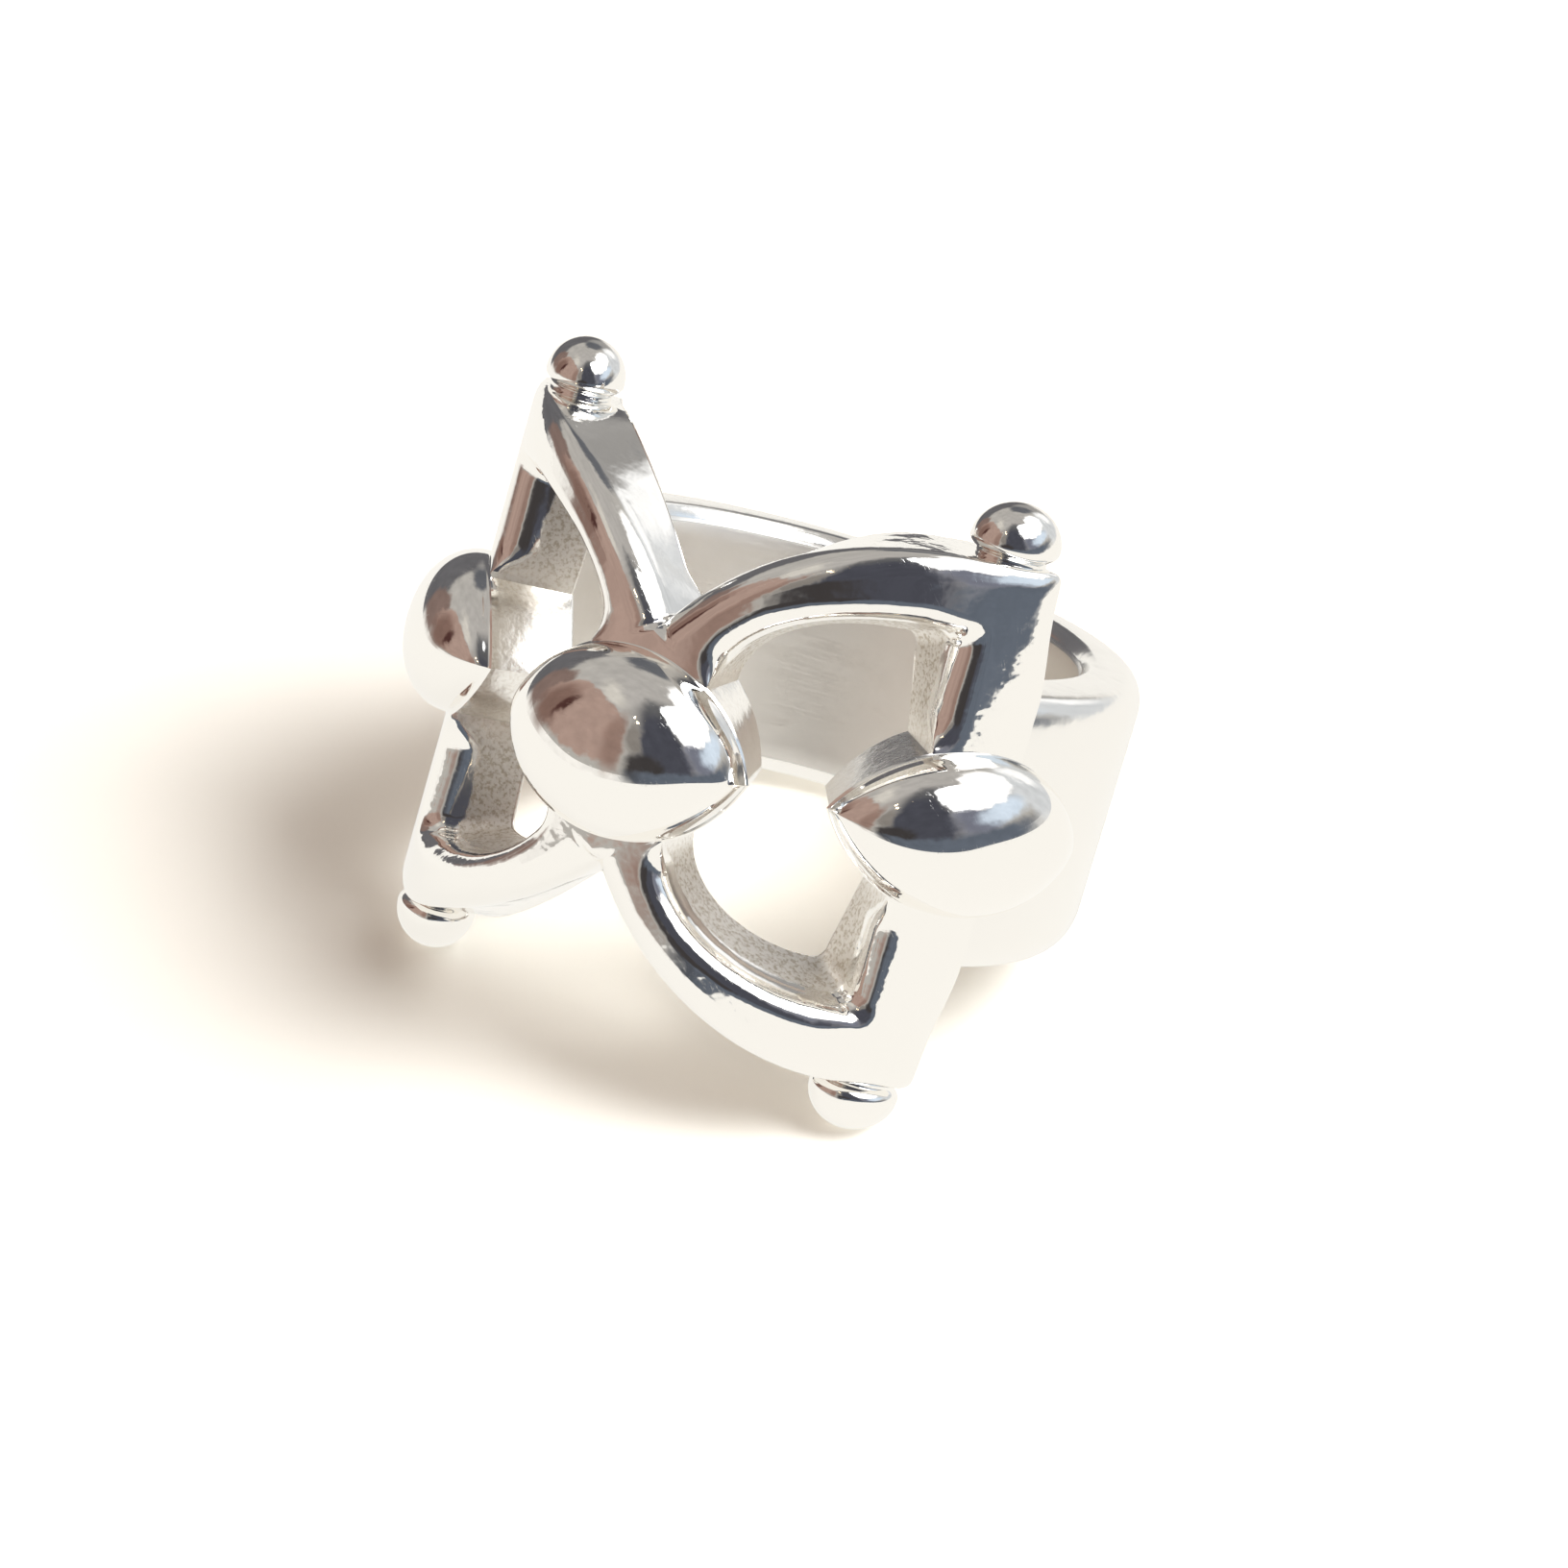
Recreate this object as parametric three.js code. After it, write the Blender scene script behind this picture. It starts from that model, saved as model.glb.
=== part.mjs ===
// A polished silver statement ring for a finger, in millimetres, +Z up.
//
// Two pierced petal frames stand at the front, bent round the finger and soldered to each other along the
// centre line. A marquise boss covers that joint, two more cover the joints between the frames and the
// shank, and a bead stands on each of the four frame corners. The ring rests on its two lower beads and on
// the lower edge of the shank at the back, so its finger axis leans backwards.
//
// Each piece is drawn in the ring's own space: +Z is the finger axis and -Y the front. A place on the outer
// face is a length s along the face from the centre line, and a height z above the middle of the ring.
import * as THREE from 'three';

// Finger hole and the wall round it
const bore_radius = 9.1;
const front_wall = 3.45;
const back_wall = 1.95;
const solder_seam = 0.05;
const outer_radius = bore_radius + (front_wall + back_wall) / 2;
const bore_set_back = (front_wall - back_wall) / 2;

// Shank
const shank_width = 10;
const lower_rim_lift = 0.9;
const rim_crown_across = 0.5;
const rim_crown_rise = 0.55;
const rim_round_across = 0.8;
const rim_round_drop = 1.2;

// Petal frames, measured along the outer face
const notch_height = 4.5;
const notch_crease = 0.5;
const petal_height = 9.45;
const corner_reach = 13.9;
const bead_land_length = 3.4;
const shank_reach = 14.3;
const window_reach = 10.6;
const window_height = 6.75;
const window_corner_round = 0.6;
const window_start = 2.4;
const window_slope = 0.8;
const window_lean = 0.5;
const arm_slope = 0.4;
const cushion_drop = 1.2;
const cushion_round = 1.15;
const land_drop = 0.35;
const upper_right_arm_proud = 0.1;
const upper_left_arm_proud = -0.15;
const lower_right_arm_proud = 0;
const lower_left_arm_proud = -0.4;

// Bosses
const centre_boss_length = 9.2;
const centre_boss_width = 6.6;
const centre_boss_rise = 2.8;
const side_boss_length = 10.2;
const side_boss_width = 5.8;
const side_boss_rise = 2.2;
const side_boss_reach = 12.7;

// Beads
const bead_length = 3.3;
const bead_thickness = 2.84;
const bead_height = 2.84;
const bead_centre_height = 0.5;
const bead_neck_width = 2.2;
const bead_neck_height = 0.28;
const bead_inset = 1.5;

// Shares of the sizes that they follow
const arm_root_share = 0.2;
const arm_end_share = 0.9;
const corner_end_share = 0.25;
const narrow_arm_round_share = 0.42;
const boss_crown_length_share = 0.84;
const boss_fullness_share = 0.9;

// How finely the round stretches are divided
const shank_steps = 46;
const round_steps = 4;
const face_steps = 4;
const back_steps = 6;
const pad_steps = 6;
const notch_steps = 3;
const root_steps = 3;
const arm_steps = 10;
const land_steps = 3;
const corner_steps = 3;
const bar_steps = 5;
const foot_steps = 3;
const boss_outline_steps = 32;
const boss_foot_steps = 6;
const boss_dome_steps = 8;
const bead_round_steps = 24;
const bead_dome_steps = 8;
const lean_passes = 12;

/** Distance from the ring's axis to the wall of the finger hole, which is set back from the front. */
function boreDistance(angle) {
  const across = bore_set_back * Math.sin(angle);
  return Math.sqrt(bore_radius ** 2 - across ** 2) - bore_set_back * Math.cos(angle);
}

/** A point at an angle from the front and a distance from the axis. */
function polar(angle, distance, z) {
  return new THREE.Vector3(distance * Math.sin(angle), -distance * Math.cos(angle), z);
}

/** A place on the drawing of the outer face. */
function at(s, z) {
  return new THREE.Vector2(s, z);
}

/** A list of values of a rule, at equal steps from 0 to 1. */
function steps(count, rule) {
  return Array.from({ length: count + 1 }, (_, i) => rule(i / count));
}

/** Places on a straight line. */
function straight(from, to, count) {
  return steps(count, (t) => from.clone().lerp(to, t));
}

/** Joins rings of equally many points into one closed skin, capped at its ends or joined to a loop. */
function loft(rings, { loop = false, mirrored = false } = {}) {
  const count = rings[0].length;
  const points = rings.flat();
  const index = [];
  const face = (a, b, c) => index.push(...(mirrored ? [a, c, b] : [a, b, c]));
  const spans = loop ? rings.length : rings.length - 1;
  for (let i = 0; i < spans; i += 1) {
    const here = i * count;
    const there = ((i + 1) % rings.length) * count;
    for (let j = 0; j < count; j += 1) {
      const k = (j + 1) % count;
      face(here + j, here + k, there + k);
      face(here + j, there + k, there + j);
    }
  }
  const cap = (start, faceOf) => {
    const rim = points.slice(start, start + count);
    const hub = points.push(rim.reduce((sum, p) => sum.add(p), new THREE.Vector3()).divideScalar(count)) - 1;
    for (let j = 0; j < count; j += 1) faceOf(hub, start + j, start + ((j + 1) % count));
  };
  if (!loop) {
    cap(0, (hub, a, b) => face(hub, b, a));
    cap(spans * count, (hub, a, b) => face(hub, a, b));
  }
  const geometry = new THREE.BufferGeometry().setFromPoints(points);
  geometry.setIndex(index);
  geometry.computeVertexNormals();
  return geometry;
}

/** A quarter of an ellipse, from the edge of a wall to the level top, as steps across and up. */
function quarterRound(across, up) {
  return steps(round_steps, (t) => {
    const turn = (t * Math.PI) / 2;
    return [across * (1 - Math.cos(turn)), up * Math.sin(turn)];
  });
}

// Shank

/** The shank's section at an angle: flat finger side, crisp edges, crowned rims and a flat outer face. */
function shankSection(angle, lift) {
  const inner = boreDistance(angle);
  const crest = shank_width / 2;
  const crown = steps(round_steps, (t) => [
    inner + rim_crown_across * t,
    crest - rim_crown_rise * (1 - t) ** 2,
  ]);
  const round = quarterRound(rim_round_across, rim_round_drop)
    .map(([across, up]) => [outer_radius - across, crest - rim_round_drop + up])
    .reverse();
  const upper = [...crown, ...round];
  const lower = upper.map(([distance, z]) => [distance, lift - z]).reverse();
  return [...upper, ...lower].map(([distance, z]) => polar(angle, distance, z));
}

/** The shank runs round the back, from one petal frame to the other, and narrows from below on its way. */
function shankGeometry() {
  const start = (shank_reach + solder_seam) / outer_radius;
  const sweep = 2 * (Math.PI - start);
  return loft(steps(shank_steps, (t) => {
    const lift = lower_rim_lift * Math.sin(Math.PI * t) ** 2;
    return shankSection(start + sweep * t, lift);
  }));
}

// Bosses

/** Half height of a marquise, which is two equal arcs that meet in points, at a place along its length. */
function marquiseHeight(length, width, along) {
  const radius = (length ** 2 + width ** 2) / (4 * width);
  return Math.sqrt(Math.max(radius ** 2 - along ** 2, 0)) - (radius - width / 2);
}

/** A marquise boss at the front: pointed at its foot, oval at its crown, hollowed to sit on the face. */
function bossGeometry(length, width, rise) {
  const ring = (size, height, roundness) => Array.from({ length: boss_outline_steps }, (_, i) => {
    const turn = (2 * Math.PI * i) / boss_outline_steps;
    const along = (length / 2) * Math.cos(turn);
    const pointed = at(along, marquiseHeight(length, width, along) * Math.sign(Math.sin(turn)));
    const oval = at(along * boss_crown_length_share, (width / 2) * Math.sin(turn));
    const place = pointed.lerp(oval, roundness).multiplyScalar(size);
    return polar(place.x / outer_radius, outer_radius + solder_seam + height, place.y);
  });
  const foot = steps(boss_foot_steps, (t) => t).slice(1).map((t) => ring(t, 0, 0));
  const dome = steps(boss_dome_steps, (t) => (t * Math.PI) / 2).slice(1, -1).map((turn) => (
    ring(Math.cos(turn) ** boss_fullness_share, rise * Math.sin(turn), Math.sin(turn))
  ));
  return loft([...foot, ...dome]);
}

// Petal frames

/** Places along the upper edge of a marquise boss. */
function bossEdge(centre, length, width, from, to, count) {
  return steps(count, (t) => {
    const s = THREE.MathUtils.lerp(from, to, t);
    return at(s, marquiseHeight(length, width, s - centre));
  });
}

/** The part of a rule between two shares of its way. */
function between(from, to, rule) {
  return (t) => rule(THREE.MathUtils.lerp(from, to, t));
}

/** The arm's outer edge: one arc, level where the bead's land starts, that ends in the notch. */
function armEdge(proud) {
  const reach = corner_reach - bead_land_length;
  const rise = petal_height - notch_height;
  const radius = (reach ** 2 + rise ** 2) / (2 * rise);
  const sweep = Math.asin(reach / radius);
  return (t) => {
    const turn = sweep * (1 - t);
    const distance = radius + proud * Math.sin(Math.PI * t);
    return at(reach - distance * Math.sin(turn), petal_height - radius + distance * Math.cos(turn));
  };
}

/** The window's edge, some way inside its full size: a quarter ellipse on the arm, then a rounded corner. */
function windowEdge(inset) {
  const foot = marquiseHeight(centre_boss_length, centre_boss_width, window_start);
  const middle = at(window_reach - inset - window_corner_round, window_height - inset - window_corner_round);
  const arm = (t) => {
    const turn = (t * Math.PI) / 2;
    return at(
      middle.x - (middle.x - window_start) * Math.cos(turn),
      foot + (middle.y + window_corner_round - foot) * Math.sin(turn),
    );
  };
  const corner = steps(corner_steps, (t) => {
    const turn = ((1 - t) * Math.PI) / 2;
    return at(Math.cos(turn), Math.sin(turn)).multiplyScalar(window_corner_round).add(middle);
  });
  return { arm, corner };
}

/**
 * Half a petal frame, from the centre line round to the middle of the bar, as stations: a place on the
 * outline with its partners on the window's edge, at the face and at the finger side. Along each stretch
 * the face's drop towards the outline and towards the window, and the slope of the wall at the outline, go
 * from a first value to a last one.
 */
function halfPetal(proud) {
  const arm = armEdge(proud);
  const edges = [windowEdge(0), windowEdge(window_slope)];
  const seam_reach = solder_seam / 2;
  const centre_tip = centre_boss_length / 2;
  const side_tip = side_boss_reach - side_boss_length / 2;
  const crease_foot = at(seam_reach, notch_height - notch_crease);
  const seam_turn = THREE.MathUtils.lerp(centre_tip, window_start, crease_foot.y / notch_height);
  const bar_foot = at(
    window_reach,
    marquiseHeight(side_boss_length, side_boss_width, window_reach - side_boss_reach),
  );
  const bars = edges.map((edge) => straight(edge.corner.at(-1), bar_foot, bar_steps + foot_steps));
  const notch = at(seam_reach, notch_height);
  const corner = at(corner_reach, petal_height);
  const shank_rim = at(shank_reach, shank_width / 2);
  const shank_middle = at(shank_reach, bar_foot.y);
  const corner_end = corner.clone().lerp(shank_rim, corner_end_share);
  const centreEdge = (from, to, count) => {
    const places = bossEdge(0, centre_boss_length, centre_boss_width, from, to, count);
    return [places, places];
  };
  const side_places = bossEdge(
    side_boss_reach, side_boss_length, side_boss_width, window_reach, side_tip, pad_steps,
  );
  const armSide = (from, to, count) => edges.map((edge) => steps(count, between(from, to, edge.arm)));

  return [
    {
      outline: straight(at(seam_reach, 0), crease_foot, pad_steps),
      window: centreEdge(centre_tip, seam_turn, pad_steps),
      outer_drop: [0, 0],
      inner_drop: [0, 0],
      slope: [0, 0],
    },
    {
      outline: straight(crease_foot, notch, notch_steps),
      window: centreEdge(seam_turn, window_start, notch_steps),
      outer_drop: [0, cushion_drop],
      inner_drop: [0, 0],
      slope: [0, 0],
    },
    {
      outline: steps(root_steps, between(0, arm_root_share, arm)),
      window: armSide(0, arm_root_share, root_steps),
      outer_drop: [cushion_drop, cushion_drop],
      inner_drop: [0, cushion_drop],
      slope: [0, arm_slope],
    },
    {
      outline: steps(arm_steps, between(arm_root_share, 1, arm)),
      window: armSide(arm_root_share, arm_end_share, arm_steps),
      outer_drop: [cushion_drop, land_drop],
      inner_drop: [cushion_drop, cushion_drop],
      slope: [arm_slope, 0],
    },
    {
      outline: straight(arm(1), corner, land_steps),
      window: armSide(arm_end_share, 1, land_steps),
      outer_drop: [land_drop, land_drop],
      inner_drop: [cushion_drop, cushion_drop],
      slope: [0, 0],
    },
    {
      outline: straight(corner, corner_end, corner_steps),
      window: edges.map((edge) => edge.corner),
      outer_drop: [land_drop, land_drop],
      inner_drop: [cushion_drop, cushion_drop],
      slope: [0, 0],
    },
    {
      outline: straight(corner_end, shank_rim, bar_steps),
      window: bars.map((bar) => bar.slice(0, bar_steps + 1)),
      outer_drop: [land_drop, 0],
      inner_drop: [cushion_drop, cushion_drop],
      slope: [0, 0],
    },
    {
      outline: straight(shank_rim, shank_middle, foot_steps),
      window: bars.map((bar) => bar.slice(bar_steps)),
      outer_drop: [0, 0],
      inner_drop: [cushion_drop, 0],
      slope: [0, 0],
    },
    {
      outline: straight(shank_middle, at(shank_reach, 0), pad_steps),
      window: [side_places, side_places],
      outer_drop: [0, 0],
      inner_drop: [0, 0],
      slope: [0, 0],
    },
  ].flatMap((stretch, order) => {
    const stations = stretch.outline.map((outline, i) => {
      const way = THREE.MathUtils.smoothstep(i, 0, stretch.outline.length - 1);
      const value = ([first, last]) => THREE.MathUtils.lerp(first, last, way);
      return {
        outline,
        window: stretch.window[0][i],
        inside: stretch.window[1][i],
        outer_drop: value(stretch.outer_drop),
        inner_drop: value(stretch.inner_drop),
        slope: value(stretch.slope),
      };
    });
    return order === 0 ? stations : stations.slice(1);
  });
}

/** A petal's closed section at a station, from the outline over the face to the window and back inside. */
function petalSection({ outline, window, inside, outer_drop, inner_drop, slope }) {
  const across = outline.distanceTo(window);
  const round = Math.min(cushion_round, across * narrow_arm_round_share);
  const outer_round = quarterRound(round, outer_drop)
    .map(([along, up]) => [along, outer_radius - outer_drop + up]);
  const face = steps(face_steps, (t) => [THREE.MathUtils.lerp(round, across - round, t), outer_radius]);
  const inner_round = quarterRound(round, inner_drop)
    .map(([along, up]) => [across - along, outer_radius - inner_drop + up])
    .reverse();
  const place = (along) => outline.clone().lerp(window, along / across);
  const front = [...outer_round, ...face.slice(1, -1), ...inner_round].map(([along, distance]) => (
    polar(place(along).x / outer_radius, distance, place(along).y)
  ));
  const leaning = at(inside.x + (window_lean * inside.x) / window_reach, inside.y);
  const back = straight(leaning, place(slope), back_steps).map(({ x, y }) => {
    const angle = x / outer_radius;
    return polar(angle, boreDistance(angle), y);
  });
  return [...front, ...back];
}

/** One petal frame: on the ring's right with side 1, on its left with side -1. */
function petalGeometry(side, upper_proud, lower_proud) {
  const upper = halfPetal(upper_proud);
  const lower = halfPetal(lower_proud).slice(1, -1).reverse().map((station) => ({
    ...station,
    outline: at(station.outline.x, -station.outline.y),
    window: at(station.window.x, -station.window.y),
    inside: at(station.inside.x, -station.inside.y),
  }));
  const sections = [...upper, ...lower].map(petalSection);
  const rings = sections.map((section) => section.map((p) => new THREE.Vector3(side * p.x, p.y, p.z)));
  return loft(rings, { loop: true, mirrored: side < 0 });
}

// Beads

/** An oval bead on a short neck, standing on the foot of its neck. */
function beadGeometry() {
  const radius = bead_height / 2;
  const neck_turn = Math.asin((bead_neck_height - bead_centre_height) / radius);
  const dome = steps(bead_dome_steps, (t) => {
    const turn = THREE.MathUtils.lerp(neck_turn, Math.PI / 2, t);
    return new THREE.Vector2(Math.cos(turn), (bead_centre_height + radius * Math.sin(turn)) / radius);
  });
  const neck = bead_neck_width / bead_thickness;
  const profile = [
    new THREE.Vector2(0, 0),
    new THREE.Vector2(neck, 0),
    new THREE.Vector2(neck, bead_neck_height / radius),
    ...dome,
  ];
  profile.at(-1).x = 0;
  const geometry = new THREE.LatheGeometry(profile, bead_round_steps);
  geometry.rotateX(Math.PI / 2);
  geometry.scale(bead_length / 2, bead_thickness / 2, radius);
  return geometry;
}

// Assembly

/** How far a round end reaches down from its centre once the ring leans back by an angle. */
function reachDown(half_across, half_up, lean) {
  return Math.hypot(half_across * Math.sin(lean), half_up * Math.cos(lean));
}

/** The angle by which the ring leans back to rest on its lower beads and on the shank's lower edge. */
function restingLean() {
  const bead_angle = (corner_reach - bead_inset) / outer_radius;
  const bead_back = -beadDistance(bead_angle) * Math.cos(bead_angle);
  const bead_low = -(petal_height + solder_seam + bead_centre_height);
  const edge_back = outer_radius - rim_round_across;
  const edge_low = -(shank_width / 2 - lower_rim_lift - rim_round_drop);
  const bead_across = Math.hypot(
    (bead_length / 2) * Math.sin(bead_angle),
    (bead_thickness / 2) * Math.cos(bead_angle),
  );
  let lean = 0;
  for (let pass = 0; pass < lean_passes; pass += 1) {
    const bead = reachDown(bead_across, bead_height / 2, lean);
    const edge = reachDown(rim_round_across, rim_round_drop, lean);
    lean = Math.atan((edge_low - bead_low + (bead - edge) / Math.cos(lean)) / (edge_back - bead_back));
  }
  return lean;
}

/** Distance from the axis to the middle of the frame's thickness, where a bead stands. */
function beadDistance(angle) {
  return (boreDistance(angle) + outer_radius) / 2;
}

const ring = new THREE.Group();

function addPiece(name, geometry, finish) {
  const mesh = new THREE.Mesh(geometry, new THREE.MeshStandardMaterial({ metalness: 1, ...finish }));
  mesh.name = name;
  ring.add(mesh);
  return mesh;
}

const polished_silver = { color: 0xd9d7d2, roughness: 0.08 };
const satin_silver = { color: 0xcfc9be, roughness: 0.3 };

addPiece('shank', shankGeometry(), satin_silver);
const left_petal = petalGeometry(-1, upper_left_arm_proud, lower_left_arm_proud);
const right_petal = petalGeometry(1, upper_right_arm_proud, lower_right_arm_proud);
addPiece('left_petal_frame', left_petal, polished_silver);
addPiece('right_petal_frame', right_petal, polished_silver);

const centre_dome = bossGeometry(centre_boss_length, centre_boss_width, centre_boss_rise);
const side_dome = bossGeometry(side_boss_length, side_boss_width, side_boss_rise);
addPiece('centre_boss', centre_dome, polished_silver);
for (const [name, side] of [['left_side_boss', -1], ['right_side_boss', 1]]) {
  const boss = addPiece(name, side_dome, polished_silver);
  boss.rotation.z = (side * side_boss_reach) / outer_radius;
}

for (const [name, side, up] of [
  ['upper_left_bead', -1, 1],
  ['upper_right_bead', 1, 1],
  ['lower_left_bead', -1, -1],
  ['lower_right_bead', 1, -1],
]) {
  const bead = addPiece(name, beadGeometry(), polished_silver);
  const angle = (side * (corner_reach - bead_inset)) / outer_radius;
  bead.position.copy(polar(angle, beadDistance(angle), up * (petal_height + solder_seam)));
  bead.rotation.set(up > 0 ? 0 : Math.PI, 0, angle, 'ZYX');
}

ring.rotation.x = -restingLean();
const resting = new THREE.Group().add(ring);
resting.updateMatrixWorld(true);
const box = new THREE.Box3().setFromObject(ring, true);
const middle = box.getCenter(new THREE.Vector3());
ring.position.set(-middle.x, -middle.y, -box.min.z);

export default resting;
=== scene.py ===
"""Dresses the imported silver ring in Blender, in the row's own frame.

The ring lies on its two lower beads and on the lower rim of the shank, so its finger axis leans back. Every
piece is drawn in the ring's own space, in millimetres, where +Z is the finger axis and -Y the front. A place
on the outer face is a length s along the face from the centre line, and a height z above the ring's middle.
"""

from __future__ import annotations

import logging
import math
from abc import ABC, abstractmethod
from collections.abc import Callable, Sequence
from dataclasses import dataclass
from enum import Enum

import bmesh
import bpy
import numpy as np
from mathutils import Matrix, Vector

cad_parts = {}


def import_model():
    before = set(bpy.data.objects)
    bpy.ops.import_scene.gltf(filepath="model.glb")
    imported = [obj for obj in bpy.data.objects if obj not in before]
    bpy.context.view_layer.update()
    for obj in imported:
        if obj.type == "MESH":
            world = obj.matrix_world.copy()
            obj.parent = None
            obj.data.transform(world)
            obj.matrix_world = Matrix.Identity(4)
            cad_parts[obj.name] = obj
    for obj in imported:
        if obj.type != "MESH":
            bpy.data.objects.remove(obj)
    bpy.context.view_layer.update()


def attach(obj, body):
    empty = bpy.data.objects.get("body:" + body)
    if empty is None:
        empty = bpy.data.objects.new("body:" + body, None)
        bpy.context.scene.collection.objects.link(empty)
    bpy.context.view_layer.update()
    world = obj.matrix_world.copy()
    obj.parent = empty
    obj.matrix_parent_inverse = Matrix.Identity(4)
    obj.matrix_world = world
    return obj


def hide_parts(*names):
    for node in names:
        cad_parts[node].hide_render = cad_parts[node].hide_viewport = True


LOG = logging.getLogger("silver_ring")

MILLIMETRE = 0.001
HUNDREDTH = 0.01 * MILLIMETRE
MERGED_BELOW = 0.002 * MILLIMETRE
COLLAPSED_BELOW = 0.0005 * MILLIMETRE
SHARP_ANGLE = 38.0
BODY = "root"
POLISHED = "polished_silver"
SATIN = "satin_silver"

Pair = tuple[float, float]
Triple = tuple[float, float, float]
Rule = Callable[[np.ndarray], np.ndarray]


class Side(Enum):
    """A side of the ring, as its wearer sees it from the front."""

    LEFT = -1
    RIGHT = 1


class Mark(Enum):
    """A mark on a mesh's points that the finishes read."""

    CAST = "cast"
    DEPTH = "depth"
    BRUSHED = "brushed"


# The ring's space and its meshes


@dataclass(frozen=True)
class RingSpace:
    """How the ring stands in the row's frame: its lean in degrees and its seat in millimetres."""

    lean: float = 24.824886
    seat: Triple = (0.0, 0.61893, 8.387788)

    def to_row(self, points: np.ndarray) -> np.ndarray:
        """Takes points of the ring's space to the row's frame.

        Args:
            points: Points in millimetres, one in each row.

        Returns:
            The points in metres.
        """
        lean = math.radians(self.lean)
        x, y, z = points[:, 0], points[:, 1], points[:, 2]
        turned = np.stack(
            [x, y * math.cos(lean) + z * math.sin(lean), z * math.cos(lean) - y * math.sin(lean)], axis=1
        )
        return (turned + np.array(self.seat)) * MILLIMETRE


@dataclass(frozen=True)
class Band:
    """The finger hole, the round outer face set forward from it, and the sizes that the pieces share.

    A reach is a length along the outer face, from the centre line of the front.
    """

    bore_radius: float = 9.1
    front_wall: float = 3.45
    back_wall: float = 1.95
    shank_reach: float = 14.3
    shank_width: float = 10.0
    corner_reach: float = 13.9
    petal_height: float = 9.45
    solder_seam: float = 0.05

    @property
    def outer_radius(self) -> float:
        """Radius of the outer face."""
        return self.bore_radius + (self.front_wall + self.back_wall) / 2

    @property
    def bore_set_back(self) -> float:
        """How far the hole's middle lies behind the axis."""
        return (self.front_wall - self.back_wall) / 2

    def bore_distance(self, angle: np.ndarray | float) -> np.ndarray | float:
        """Distance from the axis to the wall of the hole.

        Args:
            angle: Angle from the front, in radians.

        Returns:
            The distance in millimetres.
        """
        across = self.bore_set_back * np.sin(angle)
        return np.sqrt(self.bore_radius**2 - across**2) - self.bore_set_back * np.cos(angle)

    def wrap(self, places: np.ndarray, distance: np.ndarray | float) -> np.ndarray:
        """Bends places of the drawing round the axis.

        Args:
            places: Places (s, z) in the last axis.
            distance: Distance from the axis.

        Returns:
            Points in the ring's space.
        """
        angle = places[..., 0] / self.outer_radius
        return np.stack([distance * np.sin(angle), -distance * np.cos(angle), places[..., 1]], axis=-1)

    def wrap_inside(self, places: np.ndarray) -> np.ndarray:
        """Points on the wall of the finger hole, at places of the drawing."""
        return self.wrap(places, self.bore_distance(places[..., 0] / self.outer_radius))


@dataclass
class Skin:
    """A closed skin in the ring's space, with marks on its points."""

    points: np.ndarray
    faces: list[tuple[int, ...]]
    marks: dict[Mark, np.ndarray]


def loft(rings: np.ndarray, loop: bool, marks: dict[Mark, np.ndarray] | None = None) -> Skin:
    """Joins rings of equally many points into a closed skin.

    Args:
        rings: Points by ring, place in the ring, and axis.
        loop: Joins the last ring to the first. Otherwise each end is closed by a fan.
        marks: Marks by ring and place in the ring.

    Returns:
        The skin.
    """
    count, around = rings.shape[:2]
    spans = count if loop else count - 1
    row = np.arange(spans)[:, None] * around
    following = (row + around) % (count * around)
    place = np.arange(around)[None, :]
    beside = (place + 1) % around
    quads = np.stack([row + place, row + beside, following + beside, following + place], axis=-1)
    points = rings.reshape(-1, 3)
    faces = [tuple(face) for face in quads.reshape(-1, 4).tolist()]
    flat = {mark: values.reshape(-1) for mark, values in (marks or {}).items()}
    if not loop:
        hubs = np.stack([rings[0].mean(axis=0), rings[-1].mean(axis=0)])
        first, last = len(points), len(points) + 1
        points = np.concatenate([points, hubs])
        flat = {mark: np.append(values, [values[0], values[-1]]) for mark, values in flat.items()}
        base = (count - 1) * around
        for i in range(around):
            j = (i + 1) % around
            faces.append((first, j, i))
            faces.append((last, base + i, base + j))
    return Skin(points, faces, flat)


def finish_mesh(mesh: bpy.types.Mesh, sharp_angle: float = SHARP_ANGLE) -> None:
    """Merges doubled points, turns the faces outward and shades them smooth up to an angle.

    Args:
        mesh: The mesh.
        sharp_angle: Edges that turn by more than this many degrees stay sharp.
    """
    work = bmesh.new()
    work.from_mesh(mesh)
    bmesh.ops.remove_doubles(work, verts=work.verts, dist=MERGED_BELOW)
    bmesh.ops.dissolve_degenerate(work, edges=work.edges, dist=COLLAPSED_BELOW)
    bmesh.ops.recalc_face_normals(work, faces=work.faces)
    work.to_mesh(mesh)
    work.free()
    mesh.shade_smooth()
    mesh.set_sharp_from_angle(angle=math.radians(sharp_angle))


def add_object(name: str, data: bpy.types.ID) -> bpy.types.Object:
    """Adds an object to the scene.

    Args:
        name: The object's name.
        data: Its mesh or camera.

    Returns:
        The object.
    """
    added = bpy.data.objects.new(name, data)
    bpy.context.scene.collection.objects.link(added)
    return added


@dataclass(frozen=True)
class Setting:
    """What a piece is built with: the band, how the ring stands in the row's frame, and the finish."""

    band: Band
    space: RingSpace
    finish: bpy.types.Material


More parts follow.
